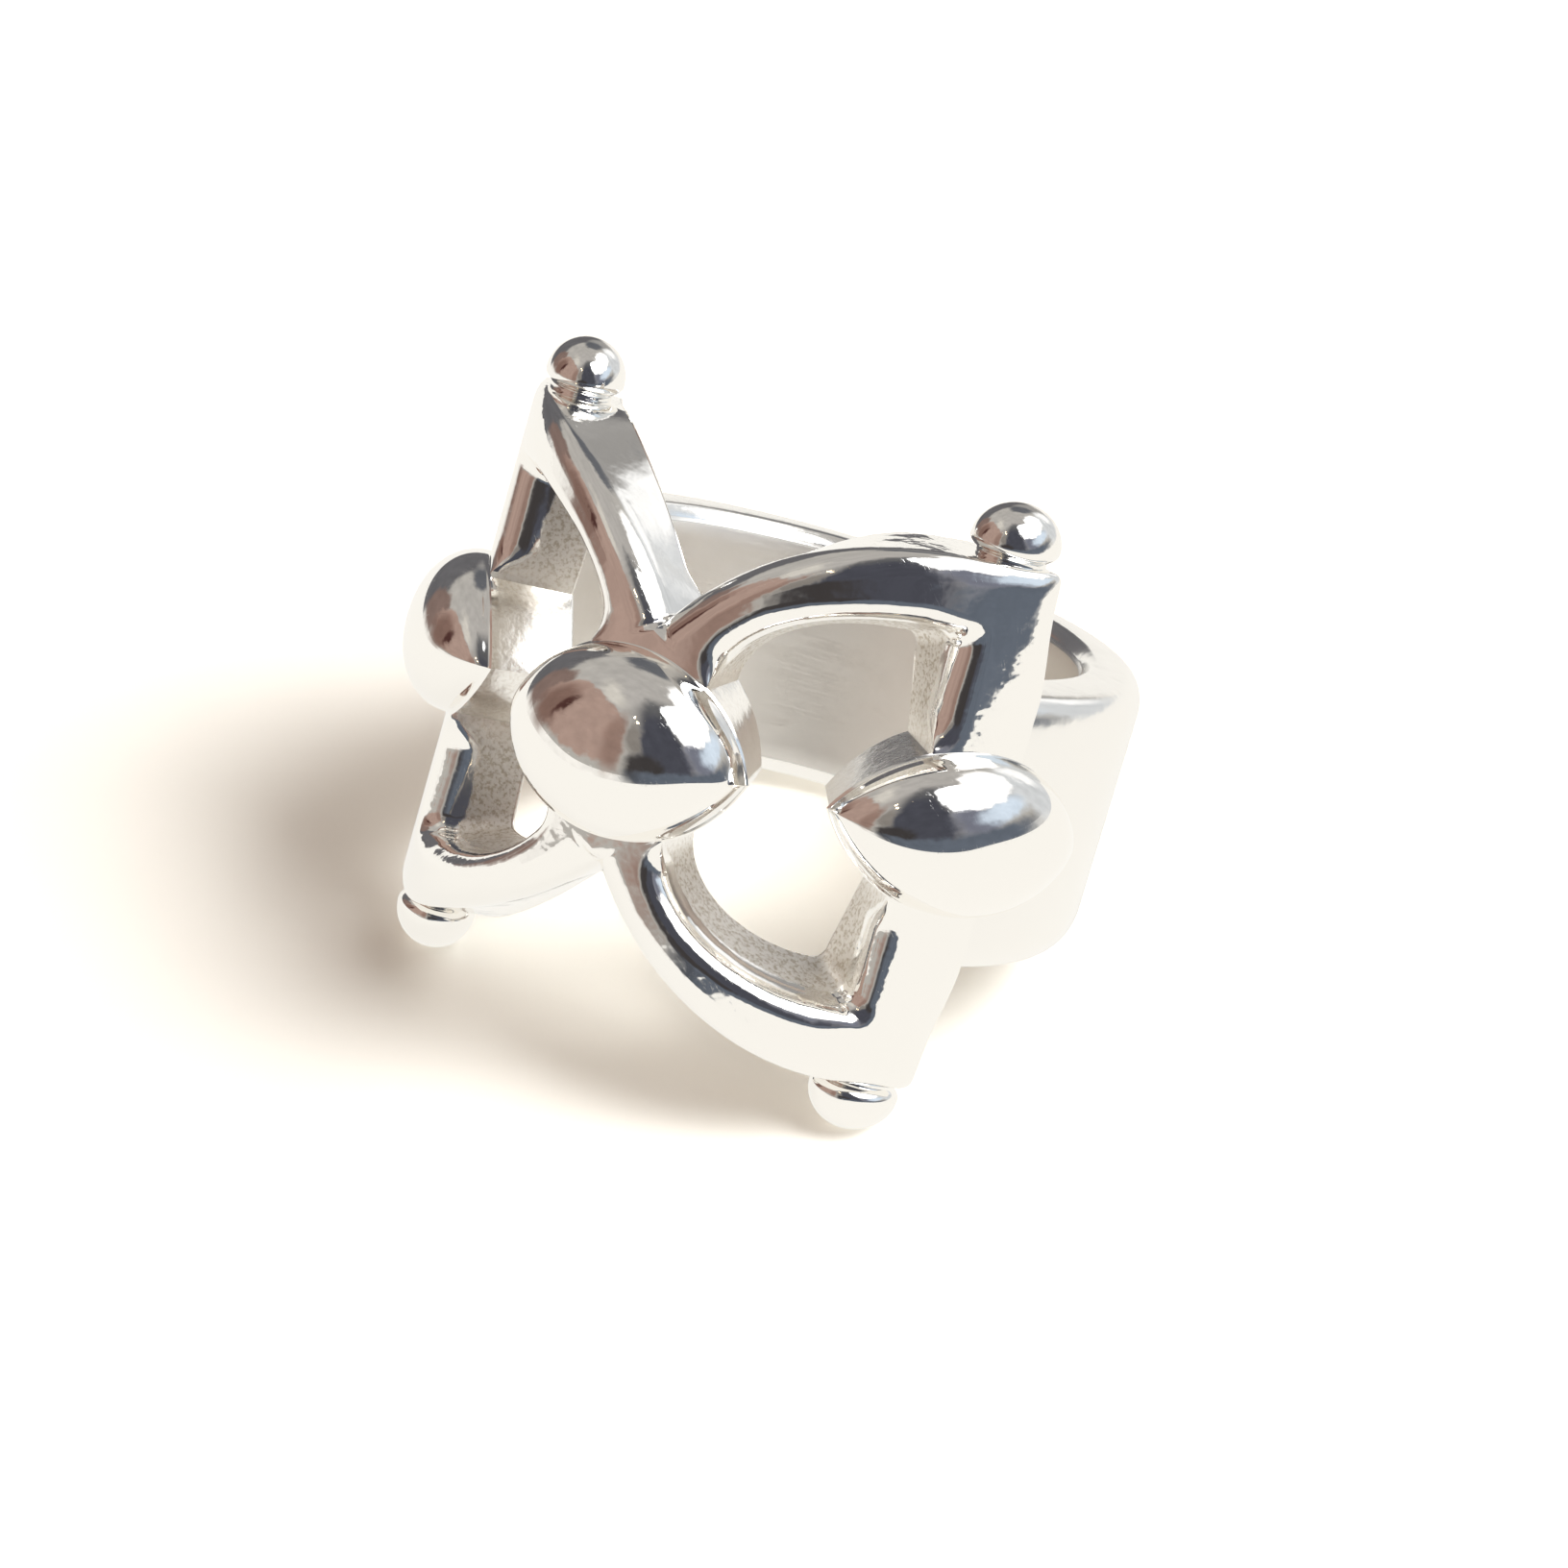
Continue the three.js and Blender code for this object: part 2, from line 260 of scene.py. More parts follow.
class Piece(ABC):
    """A sub-assembly of the visual model, which takes the place of CAD nodes."""

    @property
    @abstractmethod
    def name(self) -> str:
        """Name of the finished piece."""

    @property
    @abstractmethod
    def nodes(self) -> Sequence[str]:
        """The CAD nodes that the piece replaces."""

    @property
    def slot(self) -> str:
        """The record's material slot."""
        return POLISHED

    @abstractmethod
    def draw(self, setting: Setting) -> bpy.types.Mesh:
        """Draws the piece's mesh.

        Args:
            setting: What the piece is built with.

        Returns:
            The mesh in the row's frame.
        """

    def dress(self, mesh: bpy.types.Mesh, finish: bpy.types.Material) -> bpy.types.Object:
        """Gives the piece's mesh its finish and puts it in the place of the nodes.

        Args:
            mesh: The drawn mesh.
            finish: The finish.

        Returns:
            The finished piece.
        """
        mesh.materials.clear()
        mesh.materials.append(finish)
        piece = add_object(self.name, mesh)
        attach(piece, BODY)
        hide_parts(*self.nodes)
        LOG.info("%s: %d faces, replaces %s", self.name, len(mesh.polygons), ", ".join(self.nodes))
        return piece

    def build(self, setting: Setting) -> bpy.types.Object:
        """Draws the piece and dresses it."""
        return self.dress(self.draw(setting), setting.finish)


def mesh_from_skin(name: str, skin: Skin, space: RingSpace) -> bpy.types.Mesh:
    """Makes a mesh of a skin.

    Args:
        name: The mesh's name.
        skin: The skin in the ring's space.
        space: How the ring stands in the row's frame.

    Returns:
        The mesh in the row's frame.
    """
    mesh = bpy.data.meshes.new(name)
    mesh.from_pydata(space.to_row(skin.points).tolist(), [], skin.faces)
    for mark, values in skin.marks.items():
        layer = mesh.attributes.new(mark.value, "FLOAT", "POINT")
        layer.data.foreach_set("value", np.asarray(values, dtype=np.float32))
    finish_mesh(mesh)
    return mesh


# Node trees

Feed = bpy.types.NodeSocket | float | int | bool | Sequence[float]
COLOUR_A = 6
COLOUR_B = 7
COLOUR_RESULT = 2
VALUE_A = 2
VALUE_B = 3
SOCKET_TYPES = {
    "Place": "NodeSocketVector",
    "Geometry": "NodeSocketGeometry",
    "Material": "NodeSocketMaterial",
    "Steps": "NodeSocketInt",
}


class Graph:
    """Adds nodes to a node tree and joins them."""

    def __init__(self, tree: bpy.types.NodeTree) -> None:
        """Starts on a tree."""
        self.tree = tree

    @classmethod
    def on(cls, owner: bpy.types.Material | bpy.types.World) -> Graph:
        """Starts on the emptied node tree of a material or a world.

        Args:
            owner: The material or world.

        Returns:
            The graph.
        """
        owner.use_nodes = True
        owner.node_tree.nodes.clear()
        return cls(owner.node_tree)

    def feed(self, socket: bpy.types.NodeSocket, value: Feed) -> None:
        """Links a socket to another, or sets its value.

        Args:
            socket: The socket.
            value: The other socket, or the value.
        """
        if isinstance(value, bpy.types.NodeSocket):
            self.tree.links.new(value, socket)
        else:
            socket.default_value = value

    def add(
        self, kind: str, feeds: dict[str | int, Feed] | None = None, **settings: object
    ) -> bpy.types.Node:
        """Adds a node.

        Args:
            kind: The node's type.
            feeds: What its inputs get, by name or number.
            **settings: Its own settings.

        Returns:
            The node.
        """
        node = self.tree.nodes.new(kind)
        for key, value in settings.items():
            setattr(node, key, value)
        for key, value in (feeds or {}).items():
            self.feed(node.inputs[key], value)
        return node

    def math(self, operation: str, *values: Feed) -> bpy.types.NodeSocket:
        """Result of a Math node."""
        return self.add("ShaderNodeMath", dict(enumerate(values)), operation=operation).outputs[0]

    def ramp(self, value: Feed, low: float, high: float) -> bpy.types.NodeSocket:
        """A smooth share, 0 at the low value and 1 at the high one."""
        feeds = {"Value": value, "From Min": low, "From Max": high, "To Min": 0.0, "To Max": 1.0}
        return self.add("ShaderNodeMapRange", feeds, interpolation_type="SMOOTHSTEP").outputs["Result"]

    def mix(self, share: Feed, first: Feed, second: Feed) -> bpy.types.NodeSocket:
        """A mix of two colours."""
        feeds = {0: share, COLOUR_A: first, COLOUR_B: second}
        return self.add("ShaderNodeMix", feeds, data_type="RGBA").outputs[COLOUR_RESULT]

    def blend(self, share: Feed, first: Feed, second: Feed) -> bpy.types.NodeSocket:
        """A mix of two values."""
        feeds = {0: share, VALUE_A: first, VALUE_B: second}
        return self.add("ShaderNodeMix", feeds, data_type="FLOAT").outputs[0]

    def mix_shaders(self, share: Feed, first: bpy.types.Node, second: bpy.types.Node) -> bpy.types.Node:
        """A mix of two shaders."""
        return self.add("ShaderNodeMixShader", {0: share, 1: first.outputs[0], 2: second.outputs[0]})

    def split(self, vector: Feed) -> bpy.types.bpy_prop_collection:
        """The X, Y and Z of a vector, by name."""
        return self.add("ShaderNodeSeparateXYZ", {0: vector}).outputs

    def combine(self, x: Feed, y: Feed, z: Feed = 0.0) -> bpy.types.NodeSocket:
        """A vector of three values."""
        return self.add("ShaderNodeCombineXYZ", {"X": x, "Y": y, "Z": z}).outputs[0]

    def angle_from_front(self, parts: bpy.types.bpy_prop_collection) -> bpy.types.NodeSocket:
        """Angle round the Z axis from the front, of a vector that has been split."""
        return self.math("ARCTAN2", parts["X"], self.math("MULTIPLY", parts["Y"], -1.0))

    def round_axis(self, distance: Feed, angle: Feed, height: Feed) -> bpy.types.NodeSocket:
        """Places a point round the Z axis.

        Args:
            distance: Its distance from the axis.
            angle: Its angle from the front, in radians.
            height: Its height.

        Returns:
            The point.
        """
        across = self.math("MULTIPLY", distance, self.math("SINE", angle))
        along = self.math("MULTIPLY", distance, self.math("COSINE", angle))
        return self.combine(across, self.math("MULTIPLY", along, -1.0), height)

    def noise(
        self, place: Feed, size: Feed, detail: float, roughness: float = 0.5
    ) -> bpy.types.NodeSocket:
        """Adds a noise.

        Args:
            place: The place that it is read at.
            size: Size of its lumps in metres.
            detail: How many finer layers it has.
            roughness: How strong the finer layers are.

        Returns:
            Its value.
        """
        scale = self.math("DIVIDE", 1.0, size)
        feeds = {"Vector": place, "Scale": scale, "Detail": detail, "Roughness": roughness}
        return self.add("ShaderNodeTexNoise", feeds).outputs[0]

    def group(self, tree: bpy.types.NodeTree, feeds: dict[str, Feed]) -> bpy.types.Node:
        """Places a shader node group."""
        return self.add("ShaderNodeGroup", feeds, node_tree=tree)


@dataclass
class Sheet:
    """A new node group with its inputs and outputs."""

    graph: Graph
    given: bpy.types.bpy_prop_collection
    target: bpy.types.Node

    @classmethod
    def new(cls, name: str, kind: str, inputs: Sequence[str], outputs: Sequence[str]) -> Sheet:
        """Makes a node group. A socket holds a plain value, unless SOCKET_TYPES has its name.

        Args:
            name: The group's name.
            kind: The type of its tree.
            inputs: Names of its inputs.
            outputs: Names of its outputs.

        Returns:
            The sheet to draw the group on.
        """
        tree = bpy.data.node_groups.new(name, kind)
        for way, names in (("INPUT", inputs), ("OUTPUT", outputs)):
            for key in names:
                socket_type = SOCKET_TYPES.get(key, "NodeSocketFloat")
                tree.interface.new_socket(name=key, in_out=way, socket_type=socket_type)
        graph = Graph(tree)
        return cls(graph, graph.add("NodeGroupInput").outputs, graph.add("NodeGroupOutput"))

    def give(self, name: str, value: Feed) -> None:
        """Feeds one of the group's outputs."""
        self.graph.feed(self.target.inputs[name], value)


# Finishes


def ring_place(graph: Graph, place: Feed, space: RingSpace) -> bpy.types.NodeSocket:
    """Turns a place of the row's frame back to the ring's space.

    Args:
        graph: The nodes to add to.
        place: The place in the row's frame.
        space: How the ring stands in the row's frame.

    Returns:
        The place in the ring's space, in metres.
    """
    seat = [-value * MILLIMETRE for value in space.seat]
    moved = graph.add("ShaderNodeMapping", {"Vector": place, "Location": seat})
    upright = {"Vector": moved.outputs[0], "Rotation": (math.radians(space.lean), 0.0, 0.0)}
    return graph.add("ShaderNodeMapping", upright).outputs[0]


def hand_polish(space: RingSpace) -> bpy.types.NodeTree:
    """The unevenness that hand polishing leaves, and the slight barrel shape that it gives reflections.

    Args:
        space: How the ring stands in the row's frame.

    Returns:
        A group that puts out the height in hundredths of a millimetre, and a mask of faint smears.
    """
    scratch_turn, scratch_stretch = (0.4, 0.3, 0.7), (1.0, 14.0, 1.0)
    scratch_size, scratch_range = 0.5 * MILLIMETRE, (0.62, 0.7)
    smear_size, smear_range = 1.7 * MILLIMETRE, (0.45, 0.75)
    sizes = ("Wave Size", "Wave Height", "Ripple Size", "Ripple Height", "Scratch Height", "Swell")
    sheet = Sheet.new("hand_polish", "ShaderNodeTree", ("Place", *sizes), ("Height", "Smears"))
    graph, given = sheet.graph, sheet.given
    place = given["Place"]
    waves = graph.math("MULTIPLY", graph.noise(place, given["Wave Size"], detail=1), given["Wave Height"])
    finer = graph.noise(place, given["Ripple Size"], detail=2)
    ripples = graph.math("MULTIPLY", finer, given["Ripple Height"])
    turned = {"Vector": place, "Rotation": scratch_turn, "Scale": scratch_stretch}
    along = graph.add("ShaderNodeMapping", turned).outputs[0]
    lines = graph.noise(along, scratch_size, detail=3, roughness=0.7)
    scratches = graph.math("MULTIPLY", graph.ramp(lines, *scratch_range), given["Scratch Height"])
    height = graph.math("ADD", graph.math("ADD", waves, ripples), scratches)
    up = graph.math("ABSOLUTE", graph.split(ring_place(graph, place, space))["Z"])
    swell = graph.math("MULTIPLY", graph.math("POWER", up, 2.0), given["Swell"])
    sheet.give("Height", graph.math("SUBTRACT", height, swell))
    smears = graph.noise(place, smear_size, detail=4, roughness=0.6)
    sheet.give("Smears", graph.ramp(smears, *smear_range))
    return graph.tree


def cast_skin() -> bpy.types.NodeTree:
    """The grainy skin that casting leaves on walls that no buff reached.

    Returns:
        A group that puts out the height in hundredths of a millimetre, and a mask of the pits, where the
        finishes paint shade.
    """
    cell_share, coarse_times, mean_level, pit_range = 0.5, 4.0, 1.2, (0.55, 0.36)
    sheet = Sheet.new(
        "cast_skin", "ShaderNodeTree", ("Place", "Grain Size", "Grain Height"), ("Height", "Pits")
    )
    graph, given = sheet.graph, sheet.given
    place, size = given["Place"], given["Grain Size"]
    feeds = {"Vector": place, "Scale": graph.math("DIVIDE", 1.0, size)}
    cells = graph.add("ShaderNodeTexVoronoi", feeds, feature="SMOOTH_F1").outputs["Distance"]
    grain = graph.noise(place, size, detail=4, roughness=0.65)
    coarse = graph.noise(place, graph.math("MULTIPLY", size, coarse_times), detail=2)
    bumps = graph.math("ADD", graph.math("MULTIPLY", cells, cell_share), graph.math("ADD", grain, coarse))
    level = graph.math("SUBTRACT", bumps, mean_level)
    sheet.give("Height", graph.math("MULTIPLY", level, given["Grain Height"]))
    sheet.give("Pits", graph.ramp(grain, *pit_range))
    return graph.tree


def bore_brushing(space: RingSpace) -> bpy.types.NodeTree:
    """Fine lines that run round the finger hole, from the wheel that smoothed it.

    Args:
        space: How the ring stands in the row's frame.

    Returns:
        A group that puts out the height in hundredths of a millimetre, and a mask of the lines.
    """
    radian_length, line_size, line_range = 0.4 * MILLIMETRE, 0.09 * MILLIMETRE, (0.4, 0.62)
    sheet = Sheet.new("bore_brushing", "ShaderNodeTree", ("Place", "Line Height"), ("Height", "Lines"))
    graph, given = sheet.graph, sheet.given
    parts = graph.split(ring_place(graph, given["Place"], space))
    around = graph.math("MULTIPLY", graph.angle_from_front(parts), radian_length)
    lines = graph.noise(graph.combine(around, parts["Z"]), line_size, detail=3, roughness=0.6)
    sheet.give("Height", graph.math("MULTIPLY", graph.math("SUBTRACT", lines, 0.5), given["Line Height"]))
    sheet.give("Lines", graph.ramp(lines, *line_range))
    return graph.tree


@dataclass(frozen=True)
class FinishGroups:
    """The node groups that the finishes share."""

    polish: bpy.types.NodeTree
    skin: bpy.types.NodeTree
    brushing: bpy.types.NodeTree

    @classmethod
    def build(cls, space: RingSpace) -> FinishGroups:
        """Builds the groups."""
        return cls(hand_polish(space), cast_skin(), bore_brushing(space))


@dataclass(frozen=True)
class SilverFinish:
    """A finish of solid silver. Heights are in hundredths of a millimetre, sizes in millimetres."""

    name: str
    colour: Triple = (0.97, 0.955, 0.925)
    satin_colour: Triple = (0.97, 0.94, 0.89)
    # Colour of the painted shade in the pits of the cast skin.
    pit_shade_colour: Triple = (0.68, 0.62, 0.53)
    roughness: float = 0.03
    smear_roughness: float = 0.03
    satin_roughness: float = 0.42
    cast_roughness: float = 0.5
    wave_size: float = 2.2
    wave_height: float = 5.0
    ripple_size: float = 0.8
    ripple_height: float = 1.8
    scratch_height: float = 0.04
    grain_size: float = 0.16
    grain_height: float = 1.5
    line_height: float = 0.1
    swell_radius: float = 0.0
    bright_edge: Pair = (0.14, 0.38)
    waver_size: float = 0.8
    waver: float = 0.5
    wheel_roughness: float = 0.1

    def build(self, groups: FinishGroups) -> bpy.types.Material:
        """Makes the material.

        Args:
            groups: The node groups that the finishes share.

        Returns:
            The material.
        """
        material = bpy.data.materials.new(self.name)
        graph = Graph.on(material)
        place = graph.add("ShaderNodeTexCoord").outputs["Object"]
        cast, brushed = self.masks(graph, place)
        swell = 1 / (2 * self.swell_radius * MILLIMETRE * HUNDREDTH) if self.swell_radius else 0.0
        polish = graph.group(
            groups.polish,
            {
                "Place": place,
                "Wave Size": self.wave_size * MILLIMETRE,
                "Wave Height": self.wave_height,
                "Ripple Size": self.ripple_size * MILLIMETRE,
                "Ripple Height": self.ripple_height,
                "Scratch Height": self.scratch_height,
                "Swell": graph.math("MULTIPLY", graph.math("SUBTRACT", 1.0, brushed), swell),
            },
        ).outputs
        grain = {"Grain Size": self.grain_size * MILLIMETRE, "Grain Height": self.grain_height}
        skin = graph.group(groups.skin, {"Place": place} | grain).outputs
        lines = graph.group(groups.brushing, {"Place": place, "Line Height": self.line_height}).outputs

        # Painted shade: the pits of the cast skin are darkened where the walls are cast.
        pits = graph.math("MULTIPLY", skin["Pits"], cast)
        satin = graph.math("MAXIMUM", cast, brushed)
        colour = graph.mix(satin, (*self.colour, 1), (*self.satin_colour, 1))
        colour = graph.mix(pits, colour, (*self.pit_shade_colour, 1))
        roughness = graph.math("MULTIPLY_ADD", polish["Smears"], self.smear_roughness, self.roughness)
        wheel = graph.math("MULTIPLY_ADD", lines["Lines"], self.wheel_roughness, self.satin_roughness)
        roughness = graph.blend(brushed, roughness, wheel)
        roughness = graph.blend(cast, roughness, self.cast_roughness)
        height = graph.math("MULTIPLY_ADD", skin["Height"], cast, polish["Height"])
        height = graph.math("MULTIPLY_ADD", lines["Height"], brushed, height)
        bump = graph.add("ShaderNodeBump", {"Height": height, "Distance": HUNDREDTH, "Strength": 1.0})
        looks = {"Base Color": colour, "Metallic": 1.0, "Roughness": roughness, "Normal": bump.outputs[0]}
        shader = graph.add("ShaderNodeBsdfPrincipled", looks)
        graph.add("ShaderNodeOutputMaterial", {"Surface": shader.outputs[0]})
        return material

    def masks(
        self, graph: Graph, place: bpy.types.NodeSocket
    ) -> tuple[bpy.types.NodeSocket, bpy.types.NodeSocket]:
        """Reads the marks of cast walls and of the brushed finger side.

        Args:
            graph: The material's nodes.
            place: The place on the piece.

        Returns:
            The share of cast skin and the share of brushing.
        """
        cast, depth, brushed = (
            graph.add("ShaderNodeAttribute", attribute_name=mark.value).outputs["Fac"]
            for mark in (Mark.CAST, Mark.DEPTH, Mark.BRUSHED)
        )
        noise = graph.noise(place, self.waver_size * MILLIMETRE, detail=3)
        waver = graph.math("MULTIPLY_ADD", noise, self.waver, -self.waver / 2)
        reach = graph.ramp(graph.math("ADD", depth, waver), *self.bright_edge)
        return graph.math("MULTIPLY", cast, reach), brushed


# Bosses


@dataclass(frozen=True)
class Marquise:
    """A marquise of two equal arcs that meet in points."""

    length: float
    width: float

    def half_height(self, along: np.ndarray | float) -> np.ndarray | float:
        """Half height at a place along its length.

        Args:
            along: Length from its middle.

        Returns:
            The half height in millimetres.
        """
        radius = (self.length**2 + self.width**2) / (4 * self.width)
        return np.sqrt(np.maximum(radius**2 - np.square(along), 0)) - (radius - self.width / 2)

    def edge(self, middle: float, start: float, end: float) -> Rule:
        """A way along its upper edge.

        Args:
            middle: Length along the face to its middle.
            start: Length along the face where the way starts.
            end: Length along the face where the way ends.

        Returns:
            The way.
        """

        def places(share: np.ndarray) -> np.ndarray:
            """Places along the edge."""
            along = start + (end - start) * share
            return np.stack([along, self.half_height(along - middle)], axis=1)

        return places


@dataclass(frozen=True)
class Boss(Piece):
    """A domed marquise boss, with the fillet of solder round its foot."""

    node: str
    shape: Marquise
    rise: float
    reach: float
    crown_length_share: float = 0.84
    fullness_share: float = 0.9
    outline_steps: int = 144
    dome_steps: int = 44
    solder_profile: tuple[Pair, ...] = ((0.11, -0.06), (0.06, -0.015), (0.025, 0.02), (0.006, 0.07))
    floor_shares: tuple[float, ...] = (0.02, 0.3, 0.6, 0.85)
    dome_start: int = 2

    @property
    def name(self) -> str:
        """Name of the finished piece."""
        return f"{self.node}_domed"

    @property
    def nodes(self) -> Sequence[str]:
        """The CAD node that the boss replaces."""
        return (self.node,)

    def outline(self, size: float, roundness: float, beyond: float) -> np.ndarray:
        """Places round the boss, from its pointed foot to its oval crown.

        Args:
            size: Share of the full size.
            roundness: 0 at the pointed foot and 1 at the oval crown.
            beyond: How far it is let out beyond the boss's edge.

        Returns:
            The places, with the boss's middle at zero.
        """
        turn = 2 * np.pi * np.arange(self.outline_steps) / self.outline_steps
        half_length, half_width = self.shape.length / 2, self.shape.width / 2
        along = half_length * np.cos(turn)
        pointed = np.stack([along, self.shape.half_height(along) * np.sign(np.sin(turn))], axis=1)
        oval = np.stack([along * self.crown_length_share, half_width * np.sin(turn)], axis=1)
        places = (pointed + (oval - pointed) * roundness) * size
        away = np.stack([np.cos(turn) / half_length, np.sin(turn) / half_width], axis=1)
        return places + beyond * away / np.linalg.norm(away, axis=1, keepdims=True)

    def skin(self, band: Band) -> Skin:
        """Draws the boss on the outer face.

        Args:
            band: The ring's band.

        Returns:
            The closed skin.
        """
        foot_beyond, foot_height = self.solder_profile[0]
        stations = [(share, 0.0, foot_beyond * share, foot_height) for share in self.floor_shares]
        stations += [(1.0, 0.0, beyond, height) for beyond, height in self.solder_profile]
        for turn in np.linspace(0, np.pi / 2, self.dome_steps + 1)[self.dome_start : -1]:
            height = band.solder_seam + self.rise * math.sin(turn)
            stations.append((math.cos(turn) ** self.fullness_share, math.sin(turn), 0.0, height))
        middle = np.array([self.reach, 0.0])
        rings = [
            band.wrap(self.outline(size, roundness, beyond) + middle, band.outer_radius + height)
            for size, roundness, beyond, height in stations
        ]
        skin = loft(np.stack(rings), loop=False)
        skin.points[-1] = band.wrap(middle, band.outer_radius + band.solder_seam + self.rise)
        return skin

    def draw(self, setting: Setting) -> bpy.types.Mesh:
        """Draws the boss's mesh in the row's frame."""
        return mesh_from_skin(self.name, self.skin(setting.band), setting.space)


# Petal frames


def straight(start: np.ndarray, end: np.ndarray) -> Rule:
    """A straight way between two places."""
    return lambda share: start + (end - start) * share[:, None]


def part_of(rule: Rule, start: float, end: float) -> Rule:
    """The part of a way between two shares of it."""
    return lambda share: rule(start + (end - start) * share)


def between(first: np.ndarray, last: np.ndarray, share: np.ndarray) -> np.ndarray:
    """Places between a first and a last one, at each station."""
    return first[:, None] + (last - first)[:, None] * share


def bend(first: np.ndarray, corner: np.ndarray, last: np.ndarray, share: np.ndarray) -> np.ndarray:
    """A small round over a corner, between the places before and after it."""
    return first * (1 - share) ** 2 + 2 * corner * share * (1 - share) + last * share**2


@dataclass(frozen=True)
class WindowEdge:
    """The upper edge of a petal's window: a quarter ellipse on the arm, then a rounded corner."""

    start: float
    foot: float
    reach: float
    height: float
    corner_round: float

    @property
    def middle(self) -> np.ndarray:
        """Middle of the rounded corner."""
        return np.array([self.reach - self.corner_round, self.height - self.corner_round])

    def arm(self, share: np.ndarray) -> np.ndarray:
        """Sets out the edge along the arm.

        Args:
            share: Shares of the way.

        Returns:
            The places.
        """
        turn = share * np.pi / 2
        across = self.middle[0] - self.start
        up = self.middle[1] + self.corner_round - self.foot
        return np.stack([self.middle[0] - across * np.cos(turn), self.foot + up * np.sin(turn)], axis=1)

    def corner(self, share: np.ndarray) -> np.ndarray:
        """Places round the corner, from the arm to the bar."""
        turn = (1 - share) * np.pi / 2
        return self.middle + self.corner_round * np.stack([np.cos(turn), np.sin(turn)], axis=1)


@dataclass(frozen=True)
class Stretch:
    """A stretch of the way round half a petal. A pair goes from a first value to a last one."""

    count: int
    outline: Rule
    window: Rule
    inside: Rule
    outer_drop: Pair = (0.0, 0.0)
    inner_drop: Pair = (0.0, 0.0)
    slope: Pair = (0.0, 0.0)
    cast: Pair = (0.0, 0.0)
    outer_ease: Pair = (1.0, 1.0)


PLACES = ("outline", "window", "inside")
VALUES = ("outer_drop", "inner_drop", "slope", "cast", "outer_ease")


@dataclass(frozen=True)
class Stations:
    """The stations round a petal, as columns by name. Each row is one station."""

    columns: dict[str, np.ndarray]

    @classmethod
    def along(cls, stretches: Sequence[Stretch]) -> Stations:
        """Sets out the stations of stretches that follow each other.

        Args:
            stretches: The stretches in order.

        Returns:
            The stations, with none doubled where stretches meet.
        """
        parts: dict[str, list[np.ndarray]] = {name: [] for name in PLACES + VALUES}
        for order, stretch in enumerate(stretches):
            share = np.linspace(0, 1, stretch.count + 1)[min(order, 1) :]
            eased = share**2 * (3 - 2 * share)
            for name in PLACES:
                parts[name].append(getattr(stretch, name)(share))
            for name in VALUES:
                first, last = getattr(stretch, name)
                parts[name].append(first + (last - first) * eased)
        return cls({name: np.concatenate(column) for name, column in parts.items()})

    def places(self, name: str) -> np.ndarray:
        """A column of places."""
        return self.columns[name]

    def values(self, name: str) -> np.ndarray:
        """A column of values, to be spread over the places of a section."""
        return self.columns[name][:, None]

    def mirrored(self) -> Stations:
        """Mirrors the stations to below the middle.

        Returns:
            The mirrored ones in reverse, without the two that lie on the middle.
        """
        below = dict.fromkeys(PLACES, np.array([1, -1]))
        turned = {name: column * below.get(name, 1) for name, column in self.columns.items()}
        return Stations({name: column[-2:0:-1] for name, column in turned.items()})

    def joined(self, other: Stations) -> Stations:
        """These stations, then others."""
        both = {name: np.concatenate([column, other.columns[name]]) for name, column in self.columns.items()}
        return Stations(both)


